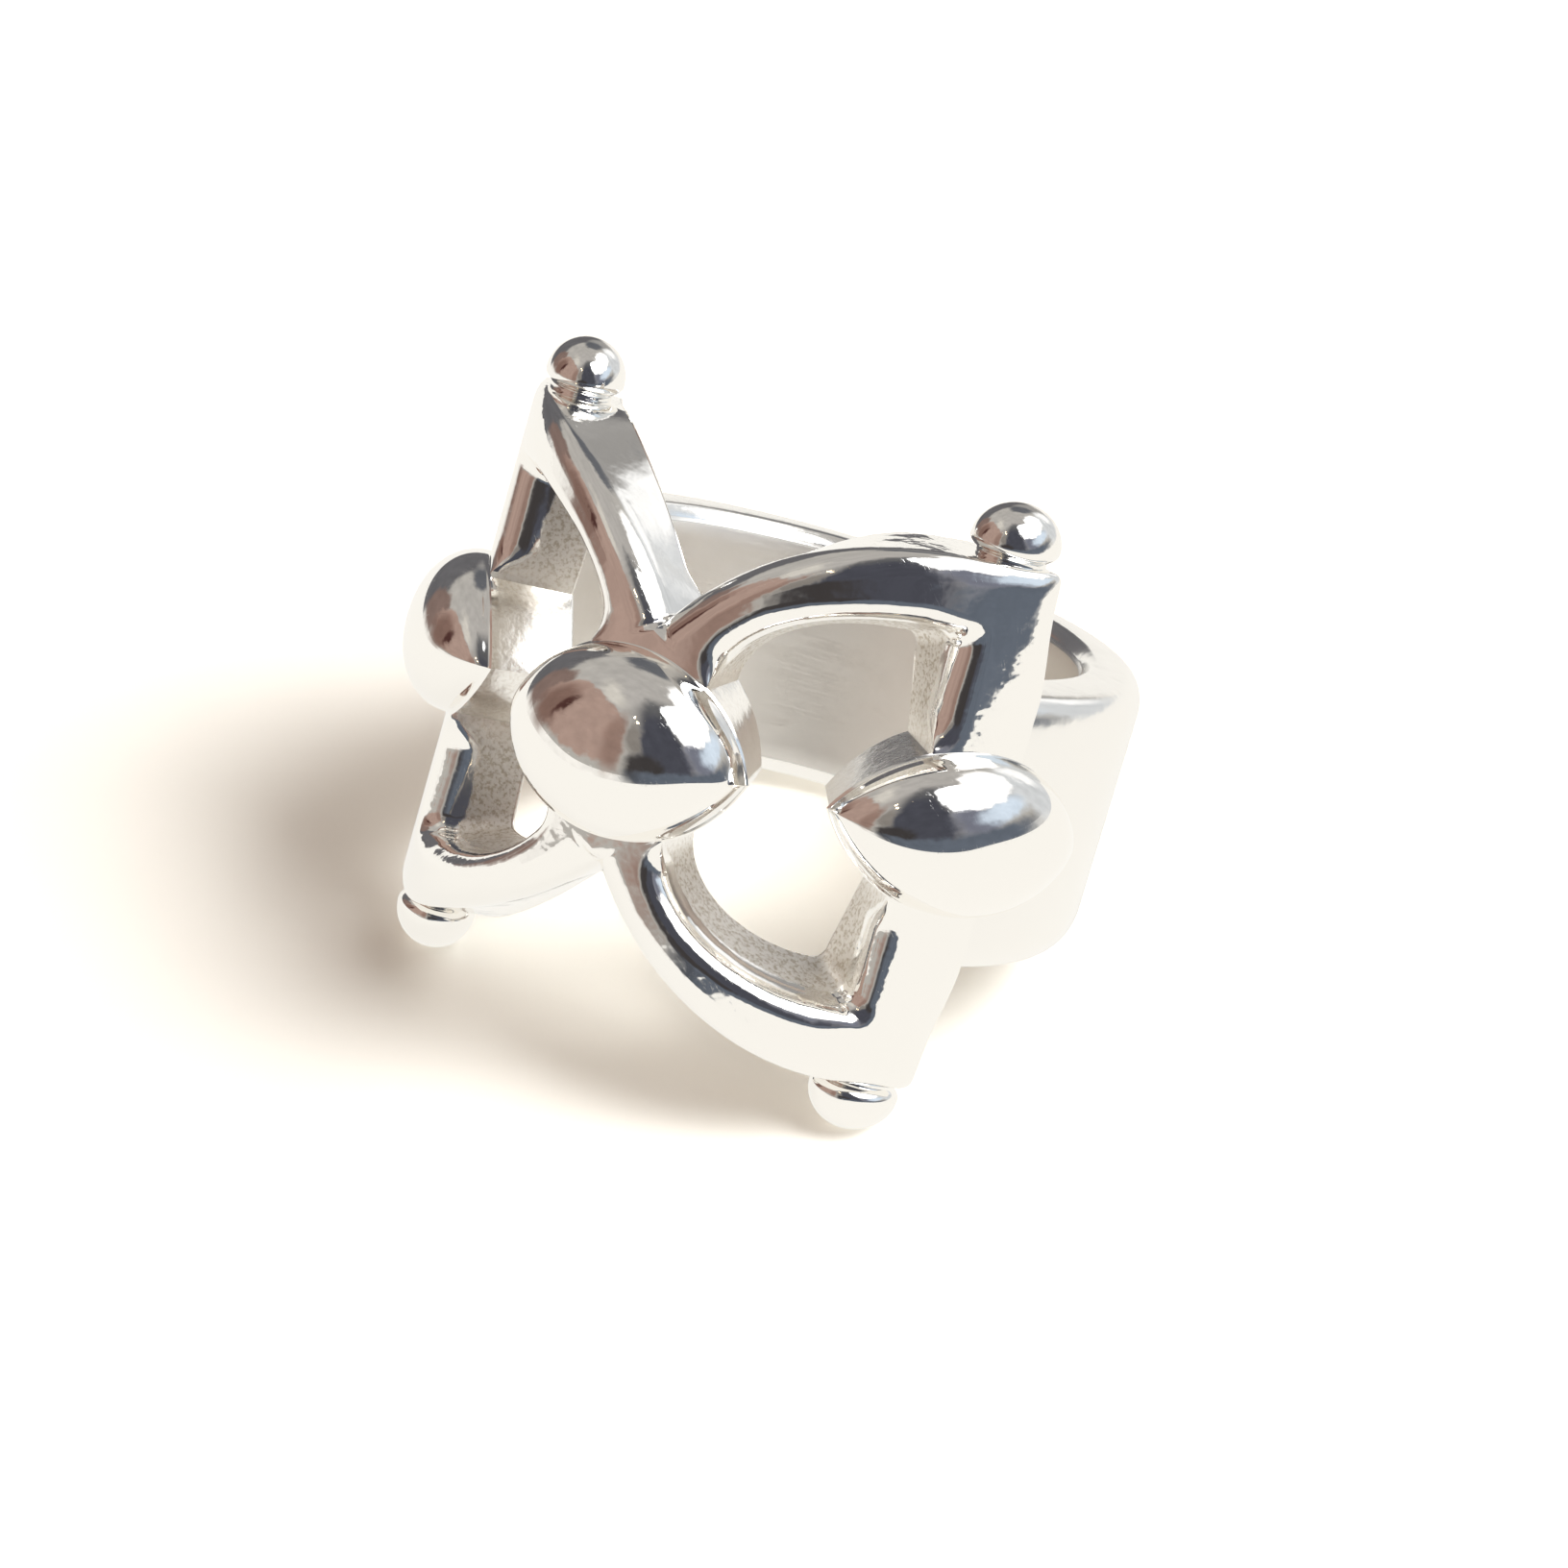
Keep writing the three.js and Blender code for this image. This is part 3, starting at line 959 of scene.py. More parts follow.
@dataclass(frozen=True)
class PetalFrame(Piece):
    """A pierced petal frame, bent round the finger, with cushioned arms and grainy cast walls."""

    side: Side
    upper_proud: float
    lower_proud: float
    centre: Marquise
    flank: Marquise
    flank_reach: float
    notch_height: float = 4.5
    notch_crease: float = 0.5
    corner_ease: float = 0.35
    bead_land: float = 3.4
    window_reach: float = 10.6
    window_height: float = 6.75
    window_round: float = 0.6
    window_start: float = 2.4
    window_slope: float = 0.8
    window_lean: float = 0.5
    arm_slope: float = 0.4
    cushion_drop: float = 1.2
    cushion_round: float = 1.15
    land_drop: float = 0.35
    edge_drop: float = 0.05
    back_ease: float = 0.14
    root_share: float = 0.2
    arm_end_share: float = 0.9
    corner_end_share: float = 0.25
    narrow_round_share: float = 0.42
    bar_share: float = 0.625
    round_steps: int = 12
    face_steps: int = 12
    wall_steps: int = 9
    back_steps: int = 12
    ease_steps: int = 4
    seam_cast: float = 0.15
    bar_cast: float = 0.5
    flank_cast: float = 0.3
    round_cast: float = 0.6
    round_brushed: float = 0.3

    @property
    def name(self) -> str:
        """Name of the finished piece."""
        return f"{self.nodes[0]}_pierced"

    @property
    def nodes(self) -> Sequence[str]:
        """The CAD node that the frame replaces."""
        return (f"{self.side.name.lower()}_petal_frame",)

    def arm_edge(self, proud: float, band: Band) -> Rule:
        """The arm's outer edge: one arc that starts in the notch and ends level at the bead's land.

        Args:
            proud: How far the arm stands out beyond the arc at its middle.
            band: The sizes that the pieces share.

        Returns:
            The way along the edge.
        """
        reach = band.corner_reach - self.bead_land
        rise = band.petal_height - self.notch_height
        radius = (reach**2 + rise**2) / (2 * rise)
        sweep = math.asin(reach / radius)

        def edge(share: np.ndarray) -> np.ndarray:
            """Sets out places along the arc.

            Args:
                share: Shares of the way.

            Returns:
                The places.
            """
            turn = sweep * (1 - share)
            distance = radius + proud * np.sin(np.pi * share)
            across = reach - distance * np.sin(turn)
            return np.stack([across, band.petal_height - radius + distance * np.cos(turn)], axis=1)

        return edge

    def half(self, proud: float, band: Band) -> Stations:
        """Sets out half the frame, from the centre line round to the middle of the bar.

        Args:
            proud: How far the arm stands out beyond its arc.
            band: The sizes that the pieces share.

        Returns:
            The stations.
        """
        foot = float(self.centre.half_height(self.window_start))
        reach, height, rounding = self.window_reach, self.window_height, self.window_round
        edges = [
            WindowEdge(self.window_start, foot, reach - inset, height - inset, rounding)
            for inset in (0.0, self.window_slope)
        ]
        centre_tip = self.centre.length / 2
        flank_tip = self.flank_reach - self.flank.length / 2
        bar_height = float(self.flank.half_height(self.window_reach - self.flank_reach))
        crease_foot = np.array([0.0, self.notch_height - self.notch_crease])
        seam_turn = centre_tip + (self.window_start - centre_tip) * crease_foot[1] / self.notch_height
        notch = np.array([0.0, self.notch_height])
        corner = np.array([band.corner_reach, band.petal_height])
        rim = np.array([band.shank_reach, band.shank_width / 2])
        middle = np.array([band.shank_reach, bar_height])
        corner_end = corner + (rim - corner) * self.corner_end_share
        bar_foot = np.array([self.window_reach, bar_height])

        arm = self.arm_edge(proud, band)
        arms = [edge.arm for edge in edges]
        bars = [straight(edge.corner(np.ones(1))[0], bar_foot) for edge in edges]
        to_turn = self.centre.edge(0.0, centre_tip, seam_turn)
        to_window = self.centre.edge(0.0, seam_turn, self.window_start)
        under_flank = self.flank.edge(self.flank_reach, self.window_reach, flank_tip)
        drop, land, slope, seam = self.cushion_drop, self.land_drop, self.arm_slope, self.seam_cast
        root, arm_end, bar = self.root_share, self.arm_end_share, self.bar_share
        stretches = [
            Stretch(
                28, straight(np.zeros(2), crease_foot), to_turn, to_turn,
                cast=(seam, seam), outer_ease=(0, 0),
            ),
            Stretch(
                10, straight(crease_foot, notch), to_window, to_window,
                outer_drop=(0, drop), cast=(seam, seam), outer_ease=(0, 0),
            ),
            Stretch(
                14, part_of(arm, 0, root), *[part_of(way, 0, root) for way in arms],
                outer_drop=(drop, drop), inner_drop=(0, drop), slope=(0, slope),
                cast=(seam, 1), outer_ease=(0, 1),
            ),
            Stretch(
                52, part_of(arm, root, 1), *[part_of(way, root, arm_end) for way in arms],
                outer_drop=(drop, land), inner_drop=(drop, drop), slope=(slope, 0), cast=(1, 1),
            ),
            Stretch(
                12, straight(arm(np.ones(1))[0], corner), *[part_of(way, arm_end, 1) for way in arms],
                outer_drop=(land, land), inner_drop=(drop, drop), cast=(1, 1),
            ),
            Stretch(
                14, straight(corner, corner_end), *[edge.corner for edge in edges],
                outer_drop=(land, land), inner_drop=(drop, drop), cast=(1, 1),
            ),
            Stretch(
                24, straight(corner_end, rim), *[part_of(way, 0, bar) for way in bars],
                outer_drop=(land, 0), inner_drop=(drop, drop), cast=(1, 1), outer_ease=(1, 0),
            ),
            Stretch(
                14, straight(rim, middle), *[part_of(way, bar, 1) for way in bars],
                inner_drop=(drop, 0), cast=(1, self.bar_cast), outer_ease=(0, 0),
            ),
            Stretch(
                24, straight(middle, np.array([band.shank_reach, 0.0])), under_flank, under_flank,
                cast=(self.bar_cast, self.flank_cast), outer_ease=(0, 0),
            ),
        ]
        stations = Stations.along(stretches)
        self.ease_corner(stations, corner)
        return stations

    def ease_corner(self, stations: Stations, corner: np.ndarray) -> None:
        """Rounds the outline at the petal's outer corner.

        Args:
            stations: The stations, whose outline is changed.
            corner: The corner.
        """
        outline = stations.places("outline")
        near = np.flatnonzero(np.linalg.norm(outline - corner, axis=1) < self.corner_ease)
        share = np.linspace(0, 1, len(near) + 2)[1:-1, None]
        outline[near] = bend(outline[near[0] - 1], corner, outline[near[-1] + 1], share)

    def front(self, stations: Stations, band: Band) -> np.ndarray:
        """Draws the face, from the outline over its cushioned edges to the window.

        Args:
            stations: The stations.
            band: The ring's band.

        Returns:
            Points by station and place.
        """
        outline, window = stations.places("outline"), stations.places("window")
        across = np.linalg.norm(window - outline, axis=1)[:, None]
        reach = np.minimum(self.cushion_round, across * self.narrow_round_share)
        outer = stations.values("outer_drop")
        inner = np.maximum(stations.values("inner_drop"), self.edge_drop)
        turn = np.linspace(0, np.pi / 2, self.round_steps + 1)[None, :]
        level = np.linspace(0, 1, self.face_steps + 1)[None, 1:-1]
        along = [
            reach * (1 - np.cos(turn)),
            reach + (across - 2 * reach) * level,
            (across - reach * (1 - np.cos(turn)))[:, ::-1],
        ]
        fall = [
            outer * (1 - np.sin(turn)),
            np.zeros_like(along[1]),
            (inner * (1 - np.sin(turn)))[:, ::-1],
        ]
        share = (np.concatenate(along, axis=1) / across)[..., None]
        return band.wrap(between(outline, window, share), band.outer_radius - np.concatenate(fall, axis=1))

    def sections(self, stations: Stations, band: Band) -> tuple[np.ndarray, dict[Mark, np.ndarray]]:
        """Draws the frame's closed section at each station.

        Args:
            stations: The stations.
            band: The ring's band.

        Returns:
            Points by station and place, and their marks.
        """
        front = self.front(stations, band)
        outline, window, inside = (stations.places(name) for name in PLACES)
        inner_place = inside + inside * np.array([self.window_lean / self.window_reach, 0.0])
        outer_place = self.step_from(outline, window, stations.values("slope"))
        outer_ease = self.back_ease * stations.values("outer_ease")

        window_top, outline_top = front[:, -1], front[:, 0]
        inner_corner, outer_corner = band.wrap_inside(inner_place), band.wrap_inside(outer_place)
        window_low = self.step_from(inner_corner, window_top, self.back_ease)
        outline_low = self.step_from(outer_corner, outline_top, outer_ease)
        back_start = self.step_from(inner_place, outer_place, self.back_ease)
        back_end = self.step_from(outer_place, inner_place, outer_ease)
        back_share, wall_share, round_share = (
            np.linspace(0, 1, steps + 1)[None, :, None]
            for steps in (self.back_steps, self.wall_steps, self.ease_steps)
        )
        back = band.wrap_inside(between(back_start, back_end, back_share))
        wall = between(window_top, window_low, wall_share)
        outer_wall = between(outline_low, outline_top, wall_share)
        low, inner, start = window_low[:, None], inner_corner[:, None], back[:, :1]
        inner_round = bend(low, inner, start, round_share)
        end, outer, low = back[:, -1:], outer_corner[:, None], outline_low[:, None]
        outer_round = bend(end, outer, low, round_share)
        blocks = [
            (front, 0.0, 0.0),
            (wall[:, 1:], 1.0, 0.0),
            (inner_round[:, 1:-1], self.round_cast, self.round_brushed),
            (back, 0.0, 1.0),
            (outer_round[:, 1:-1], 0.0, self.round_brushed),
            (outer_wall[:, :-1], 0.0, 0.0),
        ]
        sections = np.concatenate([points for points, _, _ in blocks], axis=1)
        cast = stations.values("cast")
        marks = {
            Mark.CAST: np.concatenate(
                [cast * share * np.ones(p.shape[:2]) for p, share, _ in blocks], axis=1
            ),
            Mark.BRUSHED: np.concatenate([np.full(p.shape[:2], share) for p, _, share in blocks], axis=1),
            Mark.DEPTH: np.linalg.norm(sections - window_top[:, None], axis=2),
        }
        return sections, marks

    @staticmethod
    def step_from(start: np.ndarray, towards: np.ndarray, length: np.ndarray | float) -> np.ndarray:
        """Places a short length from a start towards others."""
        way = towards - start
        return start + way / np.linalg.norm(way, axis=1, keepdims=True) * length

    def draw(self, setting: Setting) -> bpy.types.Mesh:
        """Draws the frame's mesh.

        Args:
            setting: What the frame is built with.

        Returns:
            The mesh in the row's frame.
        """
        below = self.half(self.lower_proud, setting.band).mirrored()
        stations = self.half(self.upper_proud, setting.band).joined(below)
        rings, marks = self.sections(stations, setting.band)
        rings = rings * np.array([self.side.value, 1, 1])
        return mesh_from_skin(self.name, loft(rings, loop=True, marks=marks), setting.space)


# Pieces made by geometry nodes


def grow(
    name: str, blank: bpy.types.Mesh, tree: bpy.types.NodeTree, values: dict[str, object]
) -> bpy.types.Mesh:
    """Runs a geometry tree on a blank and keeps the result as a plain mesh.

    Args:
        name: The result's name.
        blank: The mesh that the tree starts from.
        tree: The tree.
        values: What its inputs get, by name.

    Returns:
        The mesh, in the ring's space.
    """
    holder = add_object(f"{name}_holder", blank)
    modifier = holder.modifiers.new(tree.name, "NODES")
    modifier.node_group = tree
    for socket in tree.interface.items_tree:
        if socket.item_type == "SOCKET" and socket.in_out == "INPUT" and socket.name in values:
            modifier[socket.identifier] = values[socket.name]
    holder.update_tag()
    graph = bpy.context.evaluated_depsgraph_get()
    mesh = bpy.data.meshes.new_from_object(holder.evaluated_get(graph), depsgraph=graph)
    mesh.name = name
    holder.modifiers.remove(modifier)
    bpy.data.objects.remove(holder)
    return mesh


def close_tree(sheet: Sheet, geometry: Feed) -> None:
    """Ends a geometry tree: its instances made real, and its finish set.

    Args:
        sheet: The tree's sheet.
        geometry: The geometry that it puts out.
    """
    real = sheet.graph.add("GeometryNodeRealizeInstances", {"Geometry": geometry})
    feeds = {"Geometry": real.outputs[0], "Material": sheet.given["Material"]}
    sheet.give("Geometry", sheet.graph.add("GeometryNodeSetMaterial", feeds).outputs[0])


def place_in_row(mesh: bpy.types.Mesh, space: RingSpace, sharp_angle: float = SHARP_ANGLE) -> None:
    """Takes a mesh from the ring's space to the row's frame and finishes it.

    Args:
        mesh: The mesh, in millimetres.
        space: How the ring stands in the row's frame.
        sharp_angle: Edges that turn by more than this many degrees stay sharp.
    """
    points = np.empty(len(mesh.vertices) * 3, dtype=np.float32)
    mesh.vertices.foreach_get("co", points)
    mesh.vertices.foreach_set("co", space.to_row(points.reshape(-1, 3).astype(float)).ravel())
    finish_mesh(mesh, sharp_angle)


@dataclass(frozen=True)
class Shank(Piece):
    """The plain band round the back: a drawn section, swept round the finger hole by geometry nodes."""

    name: str = "shank_swept"
    nodes: tuple[str, ...] = ("shank",)
    lower_rim_lift: float = 0.9
    crown_across: float = 0.5
    crown_rise: float = 0.55
    round_across: float = 0.8
    round_drop: float = 1.2
    edge_ease: float = 0.06
    steps: int = 260
    round_steps: int = 12
    flat_steps: int = 8
    corner_steps: Pair = (0.3, 0.1)
    corner_brushed: float = 0.5
    first_round_share: float = 0.12
    path_length: float = 10.0
    drawn_thickness: float = 3.0
    sharp_angle: float = 40.0

    @property
    def slot(self) -> str:
        """The record's material slot."""
        return SATIN

    def upper_half(self, crest: float) -> list[tuple[float, float, float, float]]:
        """The upper half of the section, from its middle inside to its middle outside.

        Args:
            crest: Height of the rim.

        Returns:
            For each place: millimetres from the hole or from the outer face, 1 where it counts from the outer
            face, the height, and the mark of brushing.
        """
        edge = crest - self.crown_rise
        drawn = [(0.0, 0.0, z, 1.0) for z in np.linspace(0, edge - self.edge_ease, self.flat_steps)]
        across, down = (self.edge_ease * share for share in self.corner_steps)
        drawn.append((across, 0.0, edge - down, self.corner_brushed))
        for share in np.linspace(self.first_round_share, 1, self.round_steps):
            drawn.append((self.crown_across * share, 0.0, crest - self.crown_rise * (1 - share) ** 2, 0.0))
        for turn in np.linspace(np.pi / 2, 0, self.round_steps + 1):
            height = crest - self.round_drop * (1 - math.sin(turn))
            drawn.append((self.round_across * (1 - math.cos(turn)), 1.0, height, 0.0))
        for z in np.linspace(crest - self.round_drop, 0, self.flat_steps)[1:]:
            drawn.append((0.0, 1.0, z, 0.0))
        return drawn

    def blank(self, crest: float) -> bpy.types.Mesh:
        """The section as a closed line, with its places as marks on its points.

        Args:
            crest: Height of the rim.

        Returns:
            A mesh of edges.
        """
        upper = self.upper_half(crest)
        drawn = upper + [(across, outer, -z, brushed) for across, outer, z, brushed in upper[-2:0:-1]]
        count = len(drawn)
        mesh = bpy.data.meshes.new("shank_section")
        far = self.drawn_thickness
        corners = [(far - across if outer else across, z, 0.0) for across, outer, z, _ in drawn]
        mesh.from_pydata(corners, [(i, (i + 1) % count) for i in range(count)], [])
        for name, column in (("across", 0), ("from_face", 1), ("height", 2), (Mark.BRUSHED.value, 3)):
            layer = mesh.attributes.new(name, "FLOAT", "POINT")
            layer.data.foreach_set("value", [place[column] for place in drawn])
        return mesh

    def tree(self) -> bpy.types.NodeTree:
        """Builds the tree that sweeps the section round the hole.

        Returns:
            The tree.
        """
        sheet = Sheet.new(
            "shank_sweep",
            "GeometryNodeTree",
            (
                "Geometry", "Bore Radius", "Bore Set Back", "Outer Radius", "Start Angle",
                "Lower Rim Lift", "Lift Full At", "Steps", "Material",
            ),
            ("Geometry",),
        )
        graph, given = sheet.graph, sheet.given

        def mark(name: str) -> bpy.types.NodeSocket:
            """A mark of the drawn section."""
            node = graph.add("GeometryNodeInputNamedAttribute", {"Name": name}, data_type="FLOAT")
            return node.outputs["Attribute"]

        section = graph.add("GeometryNodeMeshToCurve", {"Mesh": given["Geometry"]})
        line = graph.add("GeometryNodeCurvePrimitiveLine", {"End": (0.0, 0.0, self.path_length)})
        path = graph.add("GeometryNodeResampleCurve", {"Curve": line.outputs[0], "Count": given["Steps"]})
        factor = graph.add("GeometryNodeSplineParameter").outputs["Factor"]
        stored = graph.add(
            "GeometryNodeStoreNamedAttribute",
            {"Geometry": path.outputs[0], "Name": "way", "Value": factor},
            data_type="FLOAT",
            domain="POINT",
        )
        swept = graph.add(
            "GeometryNodeCurveToMesh",
            {"Curve": stored.outputs[0], "Profile Curve": section.outputs[0], "Fill Caps": True},
        )
        way = mark("way")
        sweep = graph.math("MULTIPLY", graph.math("SUBTRACT", math.pi, given["Start Angle"]), 2.0)
        angle = graph.math("MULTIPLY_ADD", sweep, way, given["Start Angle"])
        sine, cosine = graph.math("SINE", angle), graph.math("COSINE", angle)
        aside = graph.math("MULTIPLY", given["Bore Set Back"], sine)
        chord = graph.math("SQRT", graph.math(
            "SUBTRACT", graph.math("POWER", given["Bore Radius"], 2.0), graph.math("POWER", aside, 2.0)
        ))
        bore = graph.math("SUBTRACT", chord, graph.math("MULTIPLY", given["Bore Set Back"], cosine))
        swell = graph.math("POWER", graph.math("SINE", graph.math("MULTIPLY", way, math.pi)), 2.0)
        down = graph.math("DIVIDE", graph.math("MULTIPLY", mark("height"), -1.0), given["Lift Full At"])
        low = graph.math("MINIMUM", graph.math("MAXIMUM", down, 0.0), 1.0)
        lift = graph.math("MULTIPLY", graph.math("MULTIPLY", swell, given["Lower Rim Lift"]), low)
        height = graph.math("ADD", mark("height"), lift)
        from_bore = graph.math("ADD", bore, mark("across"))
        from_face = graph.math("SUBTRACT", given["Outer Radius"], mark("across"))
        outside = graph.math("GREATER_THAN", mark("from_face"), 0.5)
        distance = graph.math(
            "MULTIPLY_ADD", graph.math("SUBTRACT", from_face, from_bore), outside, from_bore
        )
        feeds = {"Geometry": swept.outputs[0], "Position": graph.round_axis(distance, angle, height)}
        close_tree(sheet, graph.add("GeometryNodeSetPosition", feeds).outputs[0])
        return graph.tree

    def draw(self, setting: Setting) -> bpy.types.Mesh:
        """Draws the shank's mesh.

        Args:
            setting: What the shank is built with.

        Returns:
            The mesh in the row's frame.
        """
        band, crest = setting.band, setting.band.shank_width / 2
        values = {
            "Bore Radius": band.bore_radius,
            "Bore Set Back": band.bore_set_back,
            "Outer Radius": band.outer_radius,
            "Start Angle": band.shank_reach / band.outer_radius,
            "Lower Rim Lift": self.lower_rim_lift,
            "Lift Full At": crest - self.round_drop,
            "Steps": self.steps,
            "Material": setting.finish,
        }
        mesh = grow(self.name, self.blank(crest), self.tree(), values)
        place_in_row(mesh, setting.space, self.sharp_angle)
        return mesh


@dataclass(frozen=True)
class CornerBeads(Piece):
    """The four oval beads, one blank set on each petal corner by geometry nodes."""

    name: str = "corner_beads"
    nodes: tuple[str, ...] = ("upper_left_bead", "upper_right_bead", "lower_left_bead", "lower_right_bead")
    inset: float = 1.5
    length: float = 3.3
    thickness: float = 2.84
    height: float = 2.84
    centre_height: float = 0.5
    around_steps: int = 96
    dome_steps: int = 32
    neck_profile: tuple[Pair, ...] = (
        (1.13, -0.1), (1.115, -0.02), (1.11, 0.06), (1.125, 0.12), (1.175, 0.165), (1.25, 0.215),
        (1.33, 0.285), (1.385, 0.37), (1.41, 0.44),
    )

    def blank(self) -> bpy.types.Mesh:
        """One bead, standing on the foot of its neck.

        Returns:
            The bead's mesh in millimetres.
        """
        radius = self.height / 2
        profile = list(self.neck_profile)
        for turn in np.linspace(0, np.pi / 2, self.dome_steps + 1)[:-1]:
            across = self.thickness / 2 * math.cos(turn)
            profile.append((across, self.centre_height + radius * math.sin(turn)))
        turns = 2 * np.pi * np.arange(self.around_steps) / self.around_steps
        oval = self.length / self.thickness
        rings = [
            np.stack([across * oval * np.cos(turns), across * np.sin(turns), np.full_like(turns, up)], axis=1)
            for across, up in profile
        ]
        skin = loft(np.stack(rings), loop=False)
        skin.points[-1] = (0, 0, self.centre_height + radius)
        mesh = bpy.data.meshes.new("bead_blank")
        mesh.from_pydata(skin.points.tolist(), [], skin.faces)
        return mesh

    def tree(self) -> bpy.types.NodeTree:
        """Builds the tree that stands a bead on each of the four corners.

        Returns:
            The tree.
        """
        names = ("Geometry", "Corner Angle", "Standing Distance", "Standing Height", "Material")
        sheet = Sheet.new("beads_on_corners", "GeometryNodeTree", names, ("Geometry",))
        graph, given = sheet.graph, sheet.given
        corners = graph.add("GeometryNodeMeshLine", {"Count": len(self.nodes)})
        index = graph.add("GeometryNodeInputIndex").outputs[0]
        side = graph.math("MULTIPLY_ADD", graph.math("MODULO", index, 2.0), 2.0, -1.0)
        half = graph.math("FLOOR", graph.math("DIVIDE", index, 2.0))
        up = graph.math("MULTIPLY_ADD", half, -2.0, 1.0)
        angle = graph.math("MULTIPLY", side, given["Corner Angle"])
        height = graph.math("MULTIPLY", given["Standing Height"], up)
        place = graph.round_axis(given["Standing Distance"], angle, height)
        standing = graph.add(
            "GeometryNodeSetPosition", {"Geometry": corners.outputs[0], "Position": place}
        )
        turn = graph.combine(graph.math("MULTIPLY", half, math.pi), 0.0, angle)
        feeds = {"Points": standing.outputs[0], "Instance": given["Geometry"], "Rotation": turn}
        close_tree(sheet, graph.add("GeometryNodeInstanceOnPoints", feeds).outputs[0])
        return graph.tree

    def draw(self, setting: Setting) -> bpy.types.Mesh:
        """Draws the beads' mesh.

        Args:
            setting: What the beads are built with.

        Returns:
            The mesh in the row's frame.
        """
        band = setting.band
        angle = (band.corner_reach - self.inset) / band.outer_radius
        values = {
            "Corner Angle": angle,
            "Standing Distance": float(band.bore_distance(angle) + band.outer_radius) / 2,
            "Standing Height": band.petal_height + band.solder_seam,
            "Material": setting.finish,
        }
        mesh = grow(self.name, self.blank(), self.tree(), values)
        place_in_row(mesh, setting.space)
        return mesh


# Studio

CARD_SIZES = ("Card Azimuth", "Card Elevation", "Half Width", "Half Height", "Softness", "Squareness")


@dataclass(frozen=True)
class Card:
    """A thing round the table that the silver mirrors. Angles are in degrees, azimuth 0 at the front."""

    azimuth: float
    elevation: float
    half_width: float
    half_height: float
    softness: float
    colour: Triple
    squareness: float

    def sizes(self) -> dict[str, float]:
        """The card's sizes, by the names of its node group's inputs."""
        place = (self.azimuth, self.elevation, self.half_width, self.half_height)
        return dict(zip(CARD_SIZES, (*place, self.softness, self.squareness)))


def studio_card() -> bpy.types.NodeTree:
    """A soft-edged card in the sky.

    Returns:
        A group that puts out the card's mask.
    """
    sheet = Sheet.new("studio_card", "ShaderNodeTree", ("Azimuth", "Elevation", *CARD_SIZES), ("Mask",))
    graph, given = sheet.graph, sheet.given
    turned = graph.math("SUBTRACT", given["Azimuth"], given["Card Azimuth"])
    aside = graph.math("WRAP", turned, 180.0, -180.0)
    above = graph.math("SUBTRACT", given["Elevation"], given["Card Elevation"])
    across = graph.math("ABSOLUTE", graph.math("DIVIDE", aside, given["Half Width"]))
    up = graph.math("ABSOLUTE", graph.math("DIVIDE", above, given["Half Height"]))
    power = given["Squareness"]
    total = graph.math("ADD", graph.math("POWER", across, power), graph.math("POWER", up, power))
    reach = graph.math("POWER", total, graph.math("DIVIDE", 1.0, power))
    outside = graph.math("DIVIDE", graph.math("SUBTRACT", reach, 1.0), given["Softness"])
    sheet.give("Mask", graph.ramp(outside, 0.5, -0.5))
    return graph.tree


